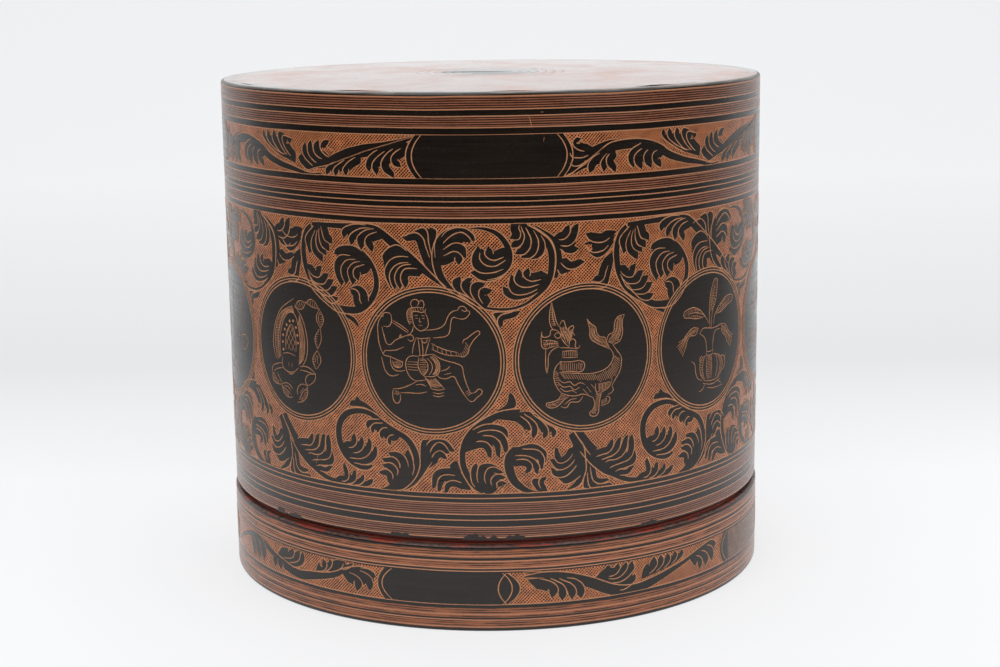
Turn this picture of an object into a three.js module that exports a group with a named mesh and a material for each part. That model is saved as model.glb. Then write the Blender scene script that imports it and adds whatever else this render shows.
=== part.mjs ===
// Round lacquered betel nut box: a deep cover that drops over an inner cylinder, a shallow skirt
// round the foot of that cylinder, and two stepped trays stacked on its mouth under the cover.
// Millimetres, +Z up. The origin is the centre of the foot, on the surface the box stands on.

import * as THREE from "three";

// Facets round every turned piece. Twelve roundels go round the box, so this is a multiple of 12.
const FACETS = 60;

// Curve steps in each rounded corner of a turned section.
const CORNER_STEPS = 3;

// Cover
const COVER_RADIUS = 105;
const COVER_WALL_THICKNESS = 4;
const COVER_SHOULDER_ROUND = 2.2;
const COVER_MOUTH_ROUND = 0.8;
const COVER_TOP_THICKNESS = 4.3;
const COVER_TOP_CROWN = 1;
const SHOULDER_HOOP_HEIGHT = 4;
const SHOULDER_HOOP_THICKNESS = 4;

// Inner cylinder
const BODY_HEIGHT = 118;
const BODY_WALL_THICKNESS = 3;
const BODY_MOUTH_ROUND = 0.7;
const BODY_FLOOR_THICKNESS = 5;
const FOOT_HOOP_HEIGHT = 4;
const FOOT_HOOP_THICKNESS = 5;

// Skirt round the foot
const SKIRT_HEIGHT = 32;
const SKIRT_OVERHANG = 0.6;
const SKIRT_WALL_THICKNESS = 3;
const SKIRT_RIM_ROUND = 1.2;
const SKIRT_FOOT_ROUND = 1;
const SKIRT_HOOP_HEIGHT = 6;

// Trays: each rim carries the next piece up, and each foot drops into the mouth below it
const TRAY_HEIGHT = 32;
const TRAY_WALL_THICKNESS = 3;
const TRAY_RIM_ROUND = 0.7;
const TRAY_FLOOR_THICKNESS = 3;
const TRAY_FOOT_DEPTH = 7;
const TRAY_FOOT_THICKNESS = 3;

// Clearances
const GLUE_GAP = 0.3;
const SEAT_GAP = 0.3;
const COVER_SLIDE_GAP = 1;
const TRAY_NEST_GAP = 0.5;
const COVER_MOUTH_GAP = 2;

// Radii that follow from the driving sizes
const coverInner = COVER_RADIUS - COVER_WALL_THICKNESS;
const bodyOuter = coverInner - COVER_SLIDE_GAP;
const bodyInner = bodyOuter - BODY_WALL_THICKNESS;
const skirtOuter = COVER_RADIUS + SKIRT_OVERHANG;
const skirtInner = skirtOuter - SKIRT_WALL_THICKNESS;
const trayOuter = bodyOuter;
const trayInner = trayOuter - TRAY_WALL_THICKNESS;
const trayFootOuter = Math.min(bodyInner, trayInner) - TRAY_NEST_GAP;

// Heights that follow from the stack: cylinder, lower tray, upper tray, cover
const bodyFloorBottom = FOOT_HOOP_HEIGHT + GLUE_GAP;
const lowerTraySeat = BODY_HEIGHT + SEAT_GAP;
const upperTraySeat = lowerTraySeat + TRAY_HEIGHT + SEAT_GAP;
const coverMouth = SKIRT_HEIGHT + COVER_MOUTH_GAP;
const shoulderHoopBottom = upperTraySeat + TRAY_HEIGHT + SEAT_GAP - coverMouth;
const coverTopBottom = shoulderHoopBottom + SHOULDER_HOOP_HEIGHT + GLUE_GAP;
const coverHeight = coverTopBottom + COVER_TOP_THICKNESS;

// Lacquer colours
const ENGRAVED_BLACK = { color: 0x4a3022, roughness: 0.35, metalness: 0 };
const PLAIN_BLACK = { color: 0x1f1a18, roughness: 0.3, metalness: 0 };
const CINNABAR_RED = { color: 0x7d2417, roughness: 0.4, metalness: 0 };

// A closed section in the half plane (radius, height), listed anticlockwise from its inner bottom
// corner. Each corner is [radius, height, rounding], and the rounding may be left out.
function section(corners) {
  const points = corners.map(([r, z]) => new THREE.Vector2(r, z));
  const path = new THREE.Path();
  corners.forEach(([, , rounding = 0], i) => {
    const here = points[i];
    const before = points[(i + points.length - 1) % points.length];
    const after = points[(i + 1) % points.length];
    const start = here.clone().add(before.clone().sub(here).setLength(rounding));
    const end = here.clone().add(after.clone().sub(here).setLength(rounding));
    if (i === 0) path.moveTo(start.x, start.y);
    else path.lineTo(start.x, start.y);
    if (rounding > 0) path.quadraticCurveTo(here.x, here.y, end.x, end.y);
  });
  path.closePath();
  return path.getPoints(CORNER_STEPS);
}

// A plain ring section between two radii and two heights, with rounded outer and inner top corners.
function ringSection({ inner, outer, bottom, top, topRound = 0, footRound = 0 }) {
  return section([
    [inner, bottom],
    [outer, bottom, footRound],
    [outer, top, topRound],
    [inner, top, topRound],
  ]);
}

// A flat disc section from the axis out.
function discSection({ outer, bottom, top }) {
  return [
    new THREE.Vector2(0, bottom),
    new THREE.Vector2(outer, bottom),
    new THREE.Vector2(outer, top),
    new THREE.Vector2(0, top),
  ];
}

// A piece turned round +Z from its section.
function turned(name, points, finish) {
  const geometry = new THREE.LatheGeometry(points, FACETS);
  geometry.rotateX(Math.PI / 2);
  const mesh = new THREE.Mesh(geometry, new THREE.MeshStandardMaterial(finish));
  mesh.name = name;
  return mesh;
}

function groupAt(height, ...meshes) {
  const group = new THREE.Group();
  group.position.z = height;
  group.add(...meshes);
  return group;
}

// The cover: a coiled bamboo wall, a hoop glued inside its shoulder, and the top disc set in the
// wall on that hoop. Heights are from the cover's mouth.
function coverWall() {
  const points = section([
    [coverInner, 0, COVER_MOUTH_ROUND],
    [COVER_RADIUS, 0, COVER_MOUTH_ROUND],
    [COVER_RADIUS, coverHeight, COVER_SHOULDER_ROUND],
    [coverInner, coverHeight],
  ]);
  return turned("cover_wall", points, ENGRAVED_BLACK);
}

function coverShoulderHoop() {
  const outer = coverInner - GLUE_GAP;
  const points = ringSection({
    inner: outer - SHOULDER_HOOP_THICKNESS,
    outer,
    bottom: shoulderHoopBottom,
    top: shoulderHoopBottom + SHOULDER_HOOP_HEIGHT,
  });
  return turned("cover_shoulder_hoop", points, CINNABAR_RED);
}

// The disc's upper face rises from the wall's edge to a low crown in the middle.
function coverTopDisc() {
  const outer = coverInner - GLUE_GAP;
  const rise = new THREE.QuadraticBezierCurve(
    new THREE.Vector2(outer, coverHeight),
    new THREE.Vector2(outer / 2, coverHeight + COVER_TOP_CROWN),
    new THREE.Vector2(0, coverHeight + COVER_TOP_CROWN),
  );
  const points = [
    new THREE.Vector2(0, coverTopBottom),
    new THREE.Vector2(outer, coverTopBottom),
    ...rise.getPoints(2 * CORNER_STEPS),
  ];
  return turned("cover_top_disc", points, ENGRAVED_BLACK);
}

// The inner cylinder: its wall stands on the table, and its floor lies on a hoop glued inside it.
function bodyWall() {
  const points = ringSection({
    inner: bodyInner,
    outer: bodyOuter,
    bottom: 0,
    top: BODY_HEIGHT,
    topRound: BODY_MOUTH_ROUND,
  });
  return turned("body_wall", points, CINNABAR_RED);
}

function bodyFloor() {
  const points = discSection({
    outer: bodyInner - GLUE_GAP,
    bottom: bodyFloorBottom,
    top: bodyFloorBottom + BODY_FLOOR_THICKNESS,
  });
  return turned("body_floor", points, CINNABAR_RED);
}

function bodyFootHoop() {
  const outer = bodyInner - GLUE_GAP;
  const points = ringSection({
    inner: outer - FOOT_HOOP_THICKNESS,
    outer,
    bottom: 0,
    top: FOOT_HOOP_HEIGHT,
  });
  return turned("body_foot_hoop", points, PLAIN_BLACK);
}

// The skirt: an engraved band held off the cylinder by two hoops. The upper one makes the ledge
// below the cover's mouth, and the lower one closes the foot.
function skirtBand() {
  const points = ringSection({
    inner: skirtInner,
    outer: skirtOuter,
    bottom: 0,
    top: SKIRT_HEIGHT,
    topRound: SKIRT_RIM_ROUND,
    footRound: SKIRT_FOOT_ROUND,
  });
  return turned("skirt_band", points, ENGRAVED_BLACK);
}

function skirtHoop(name, bottom, finish) {
  const points = ringSection({
    inner: bodyOuter + GLUE_GAP,
    outer: skirtInner - GLUE_GAP,
    bottom,
    top: bottom + SKIRT_HOOP_HEIGHT,
  });
  return turned(name, points, finish);
}

// One tray: a wall, a floor set in its lower end, and a foot hoop that drops into the mouth below.
// Heights are from the tray's seat.
function trayPieces(name) {
  const wall = ringSection({
    inner: trayInner,
    outer: trayOuter,
    bottom: 0,
    top: TRAY_HEIGHT,
    topRound: TRAY_RIM_ROUND,
  });
  const floor = discSection({
    outer: trayInner - GLUE_GAP,
    bottom: 0,
    top: TRAY_FLOOR_THICKNESS,
  });
  const foot = ringSection({
    inner: trayFootOuter - TRAY_FOOT_THICKNESS,
    outer: trayFootOuter,
    bottom: -TRAY_FOOT_DEPTH,
    top: -GLUE_GAP,
  });
  return [
    turned(`${name}_wall`, wall, CINNABAR_RED),
    turned(`${name}_floor`, floor, CINNABAR_RED),
    turned(`${name}_foot_hoop`, foot, PLAIN_BLACK),
  ];
}

const box = new THREE.Group();
box.add(
  groupAt(
    0,
    bodyWall(),
    bodyFloor(),
    bodyFootHoop(),
    skirtBand(),
    skirtHoop("skirt_ledge_hoop", SKIRT_HEIGHT - SKIRT_HOOP_HEIGHT, CINNABAR_RED),
    skirtHoop("skirt_foot_hoop", 0, PLAIN_BLACK),
  ),
  groupAt(lowerTraySeat, ...trayPieces("lower_tray")),
  groupAt(upperTraySeat, ...trayPieces("upper_tray")),
  groupAt(coverMouth, coverWall(), coverShoulderHoop(), coverTopDisc()),
);

export default box;
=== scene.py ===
"""Looks of a round lacquered betel nut box: black lacquer on coiled bamboo, engraved with
orange-filled lines, over a cinnabar red inside with two stacked trays."""

import math

import bmesh
import bpy
from mathutils import Matrix, Vector, noise
from mathutils.geometry import interpolate_bezier


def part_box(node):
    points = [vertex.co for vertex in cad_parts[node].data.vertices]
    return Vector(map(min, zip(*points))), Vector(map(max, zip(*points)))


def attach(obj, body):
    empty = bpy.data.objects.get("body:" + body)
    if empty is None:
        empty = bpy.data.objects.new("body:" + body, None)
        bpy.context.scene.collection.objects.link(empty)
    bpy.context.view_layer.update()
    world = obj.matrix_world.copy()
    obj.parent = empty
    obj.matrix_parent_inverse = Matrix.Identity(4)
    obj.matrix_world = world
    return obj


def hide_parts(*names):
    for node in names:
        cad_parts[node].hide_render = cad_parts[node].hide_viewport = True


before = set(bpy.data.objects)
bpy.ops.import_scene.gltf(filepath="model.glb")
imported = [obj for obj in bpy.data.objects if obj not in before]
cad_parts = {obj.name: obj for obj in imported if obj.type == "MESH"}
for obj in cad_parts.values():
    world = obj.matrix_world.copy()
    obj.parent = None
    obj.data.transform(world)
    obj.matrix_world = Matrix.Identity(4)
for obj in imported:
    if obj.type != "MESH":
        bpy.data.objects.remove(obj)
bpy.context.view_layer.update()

MM = 0.001

# Camera of the photograph, in millimetres and radians
CAMERA_PLACE = (2.43, -733.1, 235.1)
CAMERA_PITCH = 0.1987
CAMERA_ROLL = -0.0129
CAMERA_LENS = 66.63
CAMERA_SENSOR = 36.0

# Floor and backdrop, in metres: half the floor's side, how far it is moved forward, and the sweep between
FLOOR_HALF = 4.0
FLOOR_FORWARD = 1.5
SWEEP_RADIUS = 1.2
SWEEP_SEGMENTS = 16
EDGE_MARGIN = 0.1

# The floor is pale round the box and falls off towards the viewer, by distance along Y: a painted pool of
# light round the box, seen in its reflections and bounce light
FLOOR_DARK_FROM = -1300.0
FLOOR_PALE_FROM = -250.0
FLOOR_DARK = (0.03, 0.03, 0.03)
FLOOR_PALE = (0.932, 0.937, 0.947)
FLOOR_GLOW = 0.72

# Fades from one distance to another, with the shares at both ends: of the backdrop behind the box as
# it is seen, dimmed by painted shade, and of the floor's painted pool of light to the sides of the box and
# behind it
BACKDROP_DIMMING = (100.0, 350.0, 1.0, 0.835)
BACKDROP_LIFTING = (350.0, 1300.0, 0.0, 0.145)
SIDEWAYS_FADE = (150.0, 600.0, 1.0, 0.35)
BEHIND_FADE = (50.0, 500.0)

# Even surround, which opens towards the back where it is mirrored, and soft square lamps: place and
# size in metres, and power
SURROUND = (0.92, 0.93, 0.95)
SURROUND_STRENGTH = 0.55
SURROUND_OPENING = (-200.0, 600.0)
LAMP_AIM = (0.0, 0.0, 0.1)
LAMPS = (
    ("key_softbox", (-0.7, -1.3, 1.7), 1.6, 16.0),
    ("fill_softbox", (1.2, -0.9, 1.2), 1.4, 9.0),
    ("top_softbox", (0.0, 0.6, 1.8), 1.6, 14.0),
)

# Turned pieces
SPIN_STEPS = 180
CORNER_SEGMENTS = 4
SHARP_ANGLE = math.radians(35)
MOUTH_ROUND = 0.6
HOOP_ROUND = 0.5
FLOOR_ROUND = 0.4

# Wall thicknesses
COVER_WALL_THICKNESS = 4.0
SHOULDER_HOOP_THICKNESS = 4.0
BODY_WALL_THICKNESS = 3.0
FOOT_HOOP_THICKNESS = 5.0
SKIRT_WALL_THICKNESS = 3.0
SKIRT_HOOP_THICKNESS = 2.0
TRAY_WALL_THICKNESS = 3.0
TRAY_FOOT_THICKNESS = 3.0

# Cover: its rim stands a little proud of the top disc, and laps over the disc's edge down to the lip
COVER_RADIUS = 105.0
COVER_MOUTH = 34.0
COVER_EDGE = 191.5
COVER_MOUTH_ROUND = 0.7
COVER_SHOULDER_ROUND = 1.2
RIM_RISE = 0.2
RIM_LAP = 0.02
LIP_DEPTH = 1.0

# Where finishes meet on the cover, as a depth from an edge: the red inside its wall, the lip, the flat of
# the rim, and the edge and the underside of the top disc
RED_REACH = 1.0
LIP_REACH = 0.9
RIM_REACH = 0.02
DISC_EDGE_REACH = 0.1
DISC_UNDERSIDE = 0.5

# Fall of the top disc from its crown at radii towards the edge, and how unevenly its edge is filled
TOP_FALL = ((70.0, 0.35), (35.0, 0.08))
TOP_EDGE_FALL = 1.0
TOP_EDGE_UNEVEN = 0.5
TOP_EDGE_WAVES = 60.0

# Skirt: the band stands back inside its solid to leave room for the ornament's relief
SKIRT_INSET = 0.15
SKIRT_RIM_DEPTH = 0.6
SKIRT_ROUNDS = {"foot": 0.9, "rim": 1.1, "lip": 0.8}
TRAY_FOOT_ROUNDS = {"heel": 0.4, "foot": 0.6}

# Heights between which the red lacquer is painted lighter: painted light at the cover's mouth, in place of
# the shade the cover casts there
MOUTH_PAINTED_LIGHT = (31.0, 36.0)

# Ornament relief on the walls
PATCH_HALF_THICKNESS = 0.045
PATCH_LAYERS = 9
PATCH_STEP = 0.004
CONTOUR_HALF_THICKNESS = 0.02
CONTOUR_WIDTH = 0.26
LINE_LIFT = 0.060
LINE_FLATTENING = 0.3
LINE_TAPER = 0.55
WRAP_STEP = 4.0
ROUNDEL_LIFT = 0.01
WEAR_LIFT = 0.04

# Roundels: rings as radius and width
ROUNDEL_COUNT = 12
ROUNDEL_PITCH = math.tau * COVER_RADIUS / ROUNDEL_COUNT
ROUNDEL_FIRST = math.radians(-11.9) * COVER_RADIUS
ROUNDEL_HEIGHT = 98.6
ROUNDEL_RADIUS = 26.7
ROUNDEL_LINES = ((26.5, 0.42), (25.5, 0.36), (24.45, 0.42))
ROUNDEL_STEPS = 96
ROUNDEL_KNOTS = 24
DOT_RADIUS = 0.28
DOT_HALF_WIDTH = 0.22
DOT_KNOTS = 6

# Heights on the cover wall: single orange lines, and zones of fine turned lines
COVER_LINES = (190.3, 185.9, 183.6, 179.8, 177.3, 162.5, 160.1, 156.5, 154.6, 152.6, 148.9, 146.8,
               51.1, 49.3, 47.5, 43.4, 41.3, 38.7, 35.0)
COVER_PINSTRIPES = ((185.9, 190.3), (179.8, 183.6), (156.5, 160.1), (148.9, 152.6),
                    (43.4, 47.5), (35.0, 38.7))
COVER_GROUNDS = ((162.5, 177.3), (51.1, 146.8))

# Heights on the skirt
SKIRT_LINES = (28.1, 26.3, 23.8, 22.6, 10.1, 6.4, 4.3, 1.7)
SKIRT_PINSTRIPES = ((27.5, 30.5), (23.4, 26.6), (5.2, 8.8), (1.3, 4.6))
SKIRT_GROUNDS = ((10.2, 21.9),)

# Single lines by half their width, and the pitch of fine ones, on the walls and on the top
WALL_LINE_HALF_WIDTH = 0.19
WALL_FINE_PITCH = 0.40
TOP_LINE_HALF_WIDTH = 0.24
TOP_FINE_PITCH = 0.36

# Radii that brush marks are laid out on, on the top and on plain walls
TOP_BRUSH_RADIUS = 60.0
PLAIN_BRUSH_RADIUS = 100.0

# Rubbed rings round the middle of the top, and the middle and the half sizes of the dark scuff there
RUBBED_RINGS = (5.0, 30.0)
RUBBED_RING_PITCH = 1.7
SCUFF_AT = -6.0
SCUFF_HALF_LENGTH = 17.0
SCUFF_HALF_DEPTH = 5.0

# Radii on the cover's top
TOP_LINES = (98.5, 96.8, 93.0, 91.2, 62.0, 60.2, 56.4, 54.6, 26.0, 24.2, 20.4)
TOP_PINSTRIPES = ((93.0, 96.8), (56.4, 60.2), (20.4, 24.2))
TOP_GROUNDS = ((62.0, 91.2), (26.0, 54.6))

# Colours, linear light. A zone of turned lines has a ground, a worn ground, fine lines and single lines.
BLACK_LACQUER = (0.0085, 0.0050, 0.0031)
STREAKED_LACQUER = (0.0150, 0.0100, 0.0070)
CLOUDED_LACQUER = (0.0190, 0.0105, 0.0062)
ORANGE_FILL = (0.74, 0.247, 0.085)
WORN_FILL = (0.52, 0.165, 0.058)
COVER_ZONE = ((0.034, 0.011, 0.007), (0.050, 0.017, 0.010), (0.34, 0.125, 0.062), (0.46, 0.200, 0.100))
SKIRT_ZONE = ((0.050, 0.016, 0.008), (0.260, 0.083, 0.032), (0.36, 0.126, 0.054), (0.47, 0.205, 0.108))
PALE_FILL = (0.52, 0.245, 0.120)
WORN_PALE_FILL = (0.36, 0.145, 0.062)
RUBBED_GROUND = (0.22, 0.105, 0.062)
RUBBED_EDGE = (0.30, 0.265, 0.235)
WORN_TOP = (0.50, 0.160, 0.068)
WORN_BLACK = (0.020, 0.016, 0.014)
RED_LACQUER = (0.30, 0.040, 0.022)
WORN_RED = (0.17, 0.022, 0.013)
# Painted light: the red lifted pale at the cover's mouth, where the cover shades it
PAINTED_LIGHT_RED = (0.52, 0.14, 0.10)
RIM_GROUND = (0.045, 0.022, 0.017)
# Painted highlight on the skirt's worn rim: grey-pink flecks
RIM_HIGHLIGHT = (0.20, 0.120, 0.100)

# Leaves, as shares of a lobe's length: where it reaches its full width, where it starts to round off, how
# far lobes are joined and where veins start and end; and how finely paths are drawn
LOBE_ROOT = 0.15
LOBE_TIP = 0.76
LEAF_BODY = 0.66
VEIN_FROM = 0.20
VEIN_TO = 0.95
PATH_STEPS = 4

# Half the width of one mesh of the hatched grounds
HATCH_PITCH = 0.60

# Widths of cut lines, and how a hand-laid copy drifts: how far, how waved, and the step between copies
VEIN_WIDTH = 0.40
EDGE_WIDTH = 0.40
FIGURE_WIDTH = 0.28
HAND_DRIFT = 0.7
DRIFT_WAVES = 0.07
DRIFT_STEP = 3.7
DRIFT_SEED = 5

# Shading strokes of the figures: where they start and end between two paths, and how unevenly
RUNG_FROM = 0.10
RUNG_TO = 0.86
RUNG_SLACK = 0.2
RUNG_LEAST_SLACK = -0.08

# Cartouches on the cover: the middle of each one along the wall, and its end lines as the distance from
# the middle and the bulge
CARTOUCHES_AT = (-0.5, 157.0, 329.0, 501.5)
CARTOUCHE_END = (25.6, 3.4)
CARTOUCHE_INNER_LINE = (23.4, 3.5)

# Cartouches on the skirt: start and end angles of each one with the scroll after it, its lines as the
# distance from the start and the bulge, and where the scroll starts. The field lies between the first
# line and the third, and the last two close a pointed oval.
SKIRT_RADIUS = 105.45
SKIRT_RUN = 86.9
SKIRT_FIELD_LINES = ((3.0, -2.8), (6.0, -4.0), (48.3, 4.6), (46.6, 3.4), (48.0, -3.0))
SKIRT_SCROLL_FROM = 53.0
SKIRT_SCROLL_LEAD = 8.6
SKIRT_CARTOUCHES = ((-24.1, 53.0), (53.0, 123.0), (123.0, 190.0), (190.0, 256.0), (256.0, 335.9))

# The stretch of the skirt along the wall that is worn through to its ground, and the height it goes up to
SKIRT_WORN = (103.0, 150.0)
SKIRT_WORN_TOP = 24.0

# Chips in the lacquer along the cover's mouth: angle from the front, length and depth; and pale scratches
CHIPS = ((-49.3, 6.6, 1.9), (-45.0, 8.0, 1.2), (-20.4, 14.0, 1.5), (-3.0, 13.0, 1.7), (4.0, 10.0, 1.3),
         (32.3, 12.0, 1.2), (96.0, 10.0, 1.4), (150.0, 14.0, 1.5), (214.0, 9.0, 1.3))
SCRATCHES = (((14.2, 179.4), (13.8, 181.4), (13.2, 183.4)), ((17.2, 184.7), (18.2, 184.7)),
             ((18.2, 174.8), (18.4, 176.2)), ((-70.0, 57.0), (-69.0, 60.0)))
SCRATCH_HALF_WIDTH = 0.12

# How finely a chip's ragged edge is drawn, and where its foot and its edge start above the mouth
CHIP_STEPS = 24
CHIP_FOOT = 0.1
CHIP_EDGE = 0.25

# How much fuller the lobes of the upper band are than drawn
UPPER_FULLNESS = 1.24

# Scroll units that sit off the middle between their roundels, by number from the first
UPPER_SHIFTS = {2: 7.3, 10: 1.5, 4: -1.5, 8: 2.0}
LOWER_SHIFTS = {2: 4.4, 10: -1.0, 6: 1.5, 11: -6.0}

# The signs round the cover, from the middle of the front to the right
ROUNDEL_FIGURES = ("archer", "makara", "pot", "fish", "ram", "bull", "twins", "crab", "lion", "maiden",
                   "scales", "scorpion")

# Scrollwork in millimetres, x along the wall from the middle of the unit and y up from the foot. A stem
# is one edge with its widths at even steps. A leaf is the width of its lobes, where they spring from, and
# the outer edge of each lobe up to its tip. Widths lie to the left of the way along, negative ones right.
UPPER_FIRST_SCROLL = {
    "stems": (
        (((-20, 145), (-22.5, 143), (-24, 140), (-24.8, 136), (-24.6, 132), (-23.8, 128.5), (-22.4, 125.5),
          (-20.5, 122.3), (-17.5, 119.5), (-13, 116.5), (-9, 114.3), (-5, 113.8), (0, 114), (3, 115.3),
          (6, 118), (8.2, 121.5), (9, 125), (8.6, 128.5), (7.2, 132), (5, 135), (2, 137.3)),
         (1.5, 2.3, 2.5, 2.5, 2.6, 2.7, 2.7, 2.4, 2.2, 1.8, 1)),
        (((-19, 145.6), (-8, 146), (4, 146.3), (8.5, 145.7), (12, 143.7), (16, 140.7), (20, 137.6),
          (24, 134), (27.5, 130.5), (31, 127), (33.5, 124.8)),
         (-1.5, -2, -2.5, -3, -3, -3.2, -3, -3, -2.2, -1.2, -0.4)),
    ),
    "leaves": (
        (2.4, ((-15.5, 146),), (
            ((-22, 140.5), (-22, 137), (-20.6, 134)),
            ((-19.6, 138.5), (-18.4, 133.8), (-14.4, 131.4)),
            ((-17.4, 139), (-15.9, 135.2), (-12.6, 133.9)),
            ((-15.8, 140.3), (-14.4, 136.8), (-11.2, 135.5)),
            ((-14.3, 142), (-13.1, 139.3), (-9.8, 138.2)),
        )),
        (2.3, ((-23, 130),), (
            ((-20, 126.6), (-16.2, 126), (-15, 130.2)),
            ((-19.5, 124.4), (-14, 123.8), (-11.9, 127.6)),
            ((-18.5, 122.3), (-12.2, 121.8), (-9.7, 125.6)),
            ((-16.5, 120.6), (-10.4, 119.9), (-8.2, 123.2)),
            ((-14.5, 118.6), (-9.5, 117.2), (-8, 119.4)),
        )),
        (2.6, ((6.5, 132.5),), (
            ((1, 137.6), (-4.5, 138.3), (-8.6, 136.8), (-9.3, 134.6)),
            ((-5, 134.9), (-9.2, 131.8), (-8.8, 126.8), (-6.4, 123.4)),
            ((-2.4, 133.4), (-6.2, 130.6), (-6.2, 127.2), (-4.5, 124.2)),
            ((0, 132.6), (-3.4, 129.9), (-3.3, 126.9), (-1.7, 124.2)),
            ((2.2, 131.5), (-1, 130), (-1.1, 127.2), (0.8, 125.8)),
        )),
        (2.2, ((3.5, 115.8),), (
            ((4.6, 120), (3.2, 123.2), (0, 124.4), (-3.2, 122.9)),
            ((1.2, 118.5), (0.8, 121.4), (-0.8, 122.8), (-3, 122.7)),
        )),
        (2.3, ((11, 144.5),), (
            ((2, 146), (-3.5, 145), (-5.9, 142.9), (-4.9, 140.5)),
            ((4, 144.8), (-0.4, 143.4), (-2.9, 140.9), (-2, 138.2)),
            ((6, 144.5), (2.4, 143), (0.4, 140.4), (2.1, 136.7)),
            ((8.5, 143.5), (5.4, 142.4), (3.7, 140.3), (4.6, 138), (6.6, 136.3)),
        )),
        (2.2, ((26, 131),), (
            ((17.5, 138.8), (13, 138.3), (10.3, 135.5), (10.6, 133.6)),
            ((20, 135.2), (13.8, 134.3), (11, 130), (12, 126), (13.5, 123.7)),
            ((20, 133.2), (15.4, 132.2), (12.9, 128.8), (13.6, 124.9), (14.9, 123.6)),
            ((21, 132.6), (16.8, 131.6), (14.8, 128.2), (15.5, 125.2), (16.8, 123.8)),
            ((23, 131.2), (18.5, 130.9), (17, 128), (17.6, 125.5), (18.8, 124.2)),
        )),
        (-2.6, (), (
            ((-24, 143), (-27, 139.9), (-30, 139.1), (-33.5, 140), (-35, 142.3)),
            ((-24.5, 141), (-27.5, 137), (-30.5, 135.9), (-33, 136.2), (-35.3, 139)),
            ((-24.5, 139), (-27.5, 135.2), (-30, 134), (-32, 134.3), (-33.8, 135.9)),
        )),
        (-2.2, (), (
            ((-25, 135.5), (-27.4, 129.5), (-28.2, 126.6), (-30, 125.3), (-32.8, 126)),
            ((-24.5, 134), (-25.6, 128), (-26.4, 124.8), (-28.5, 123.2), (-33, 123.3)),
        )),
    ),
    "drops": (
        ((-8.4, 113.9), (-4.1, 113.5), (-1.6, 112.6), (0, 110.8), (0.2, 109.2), (-1.4, 110.6),
         (-3.5, 111.9), (-6, 112.9)),
    ),
}
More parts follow.
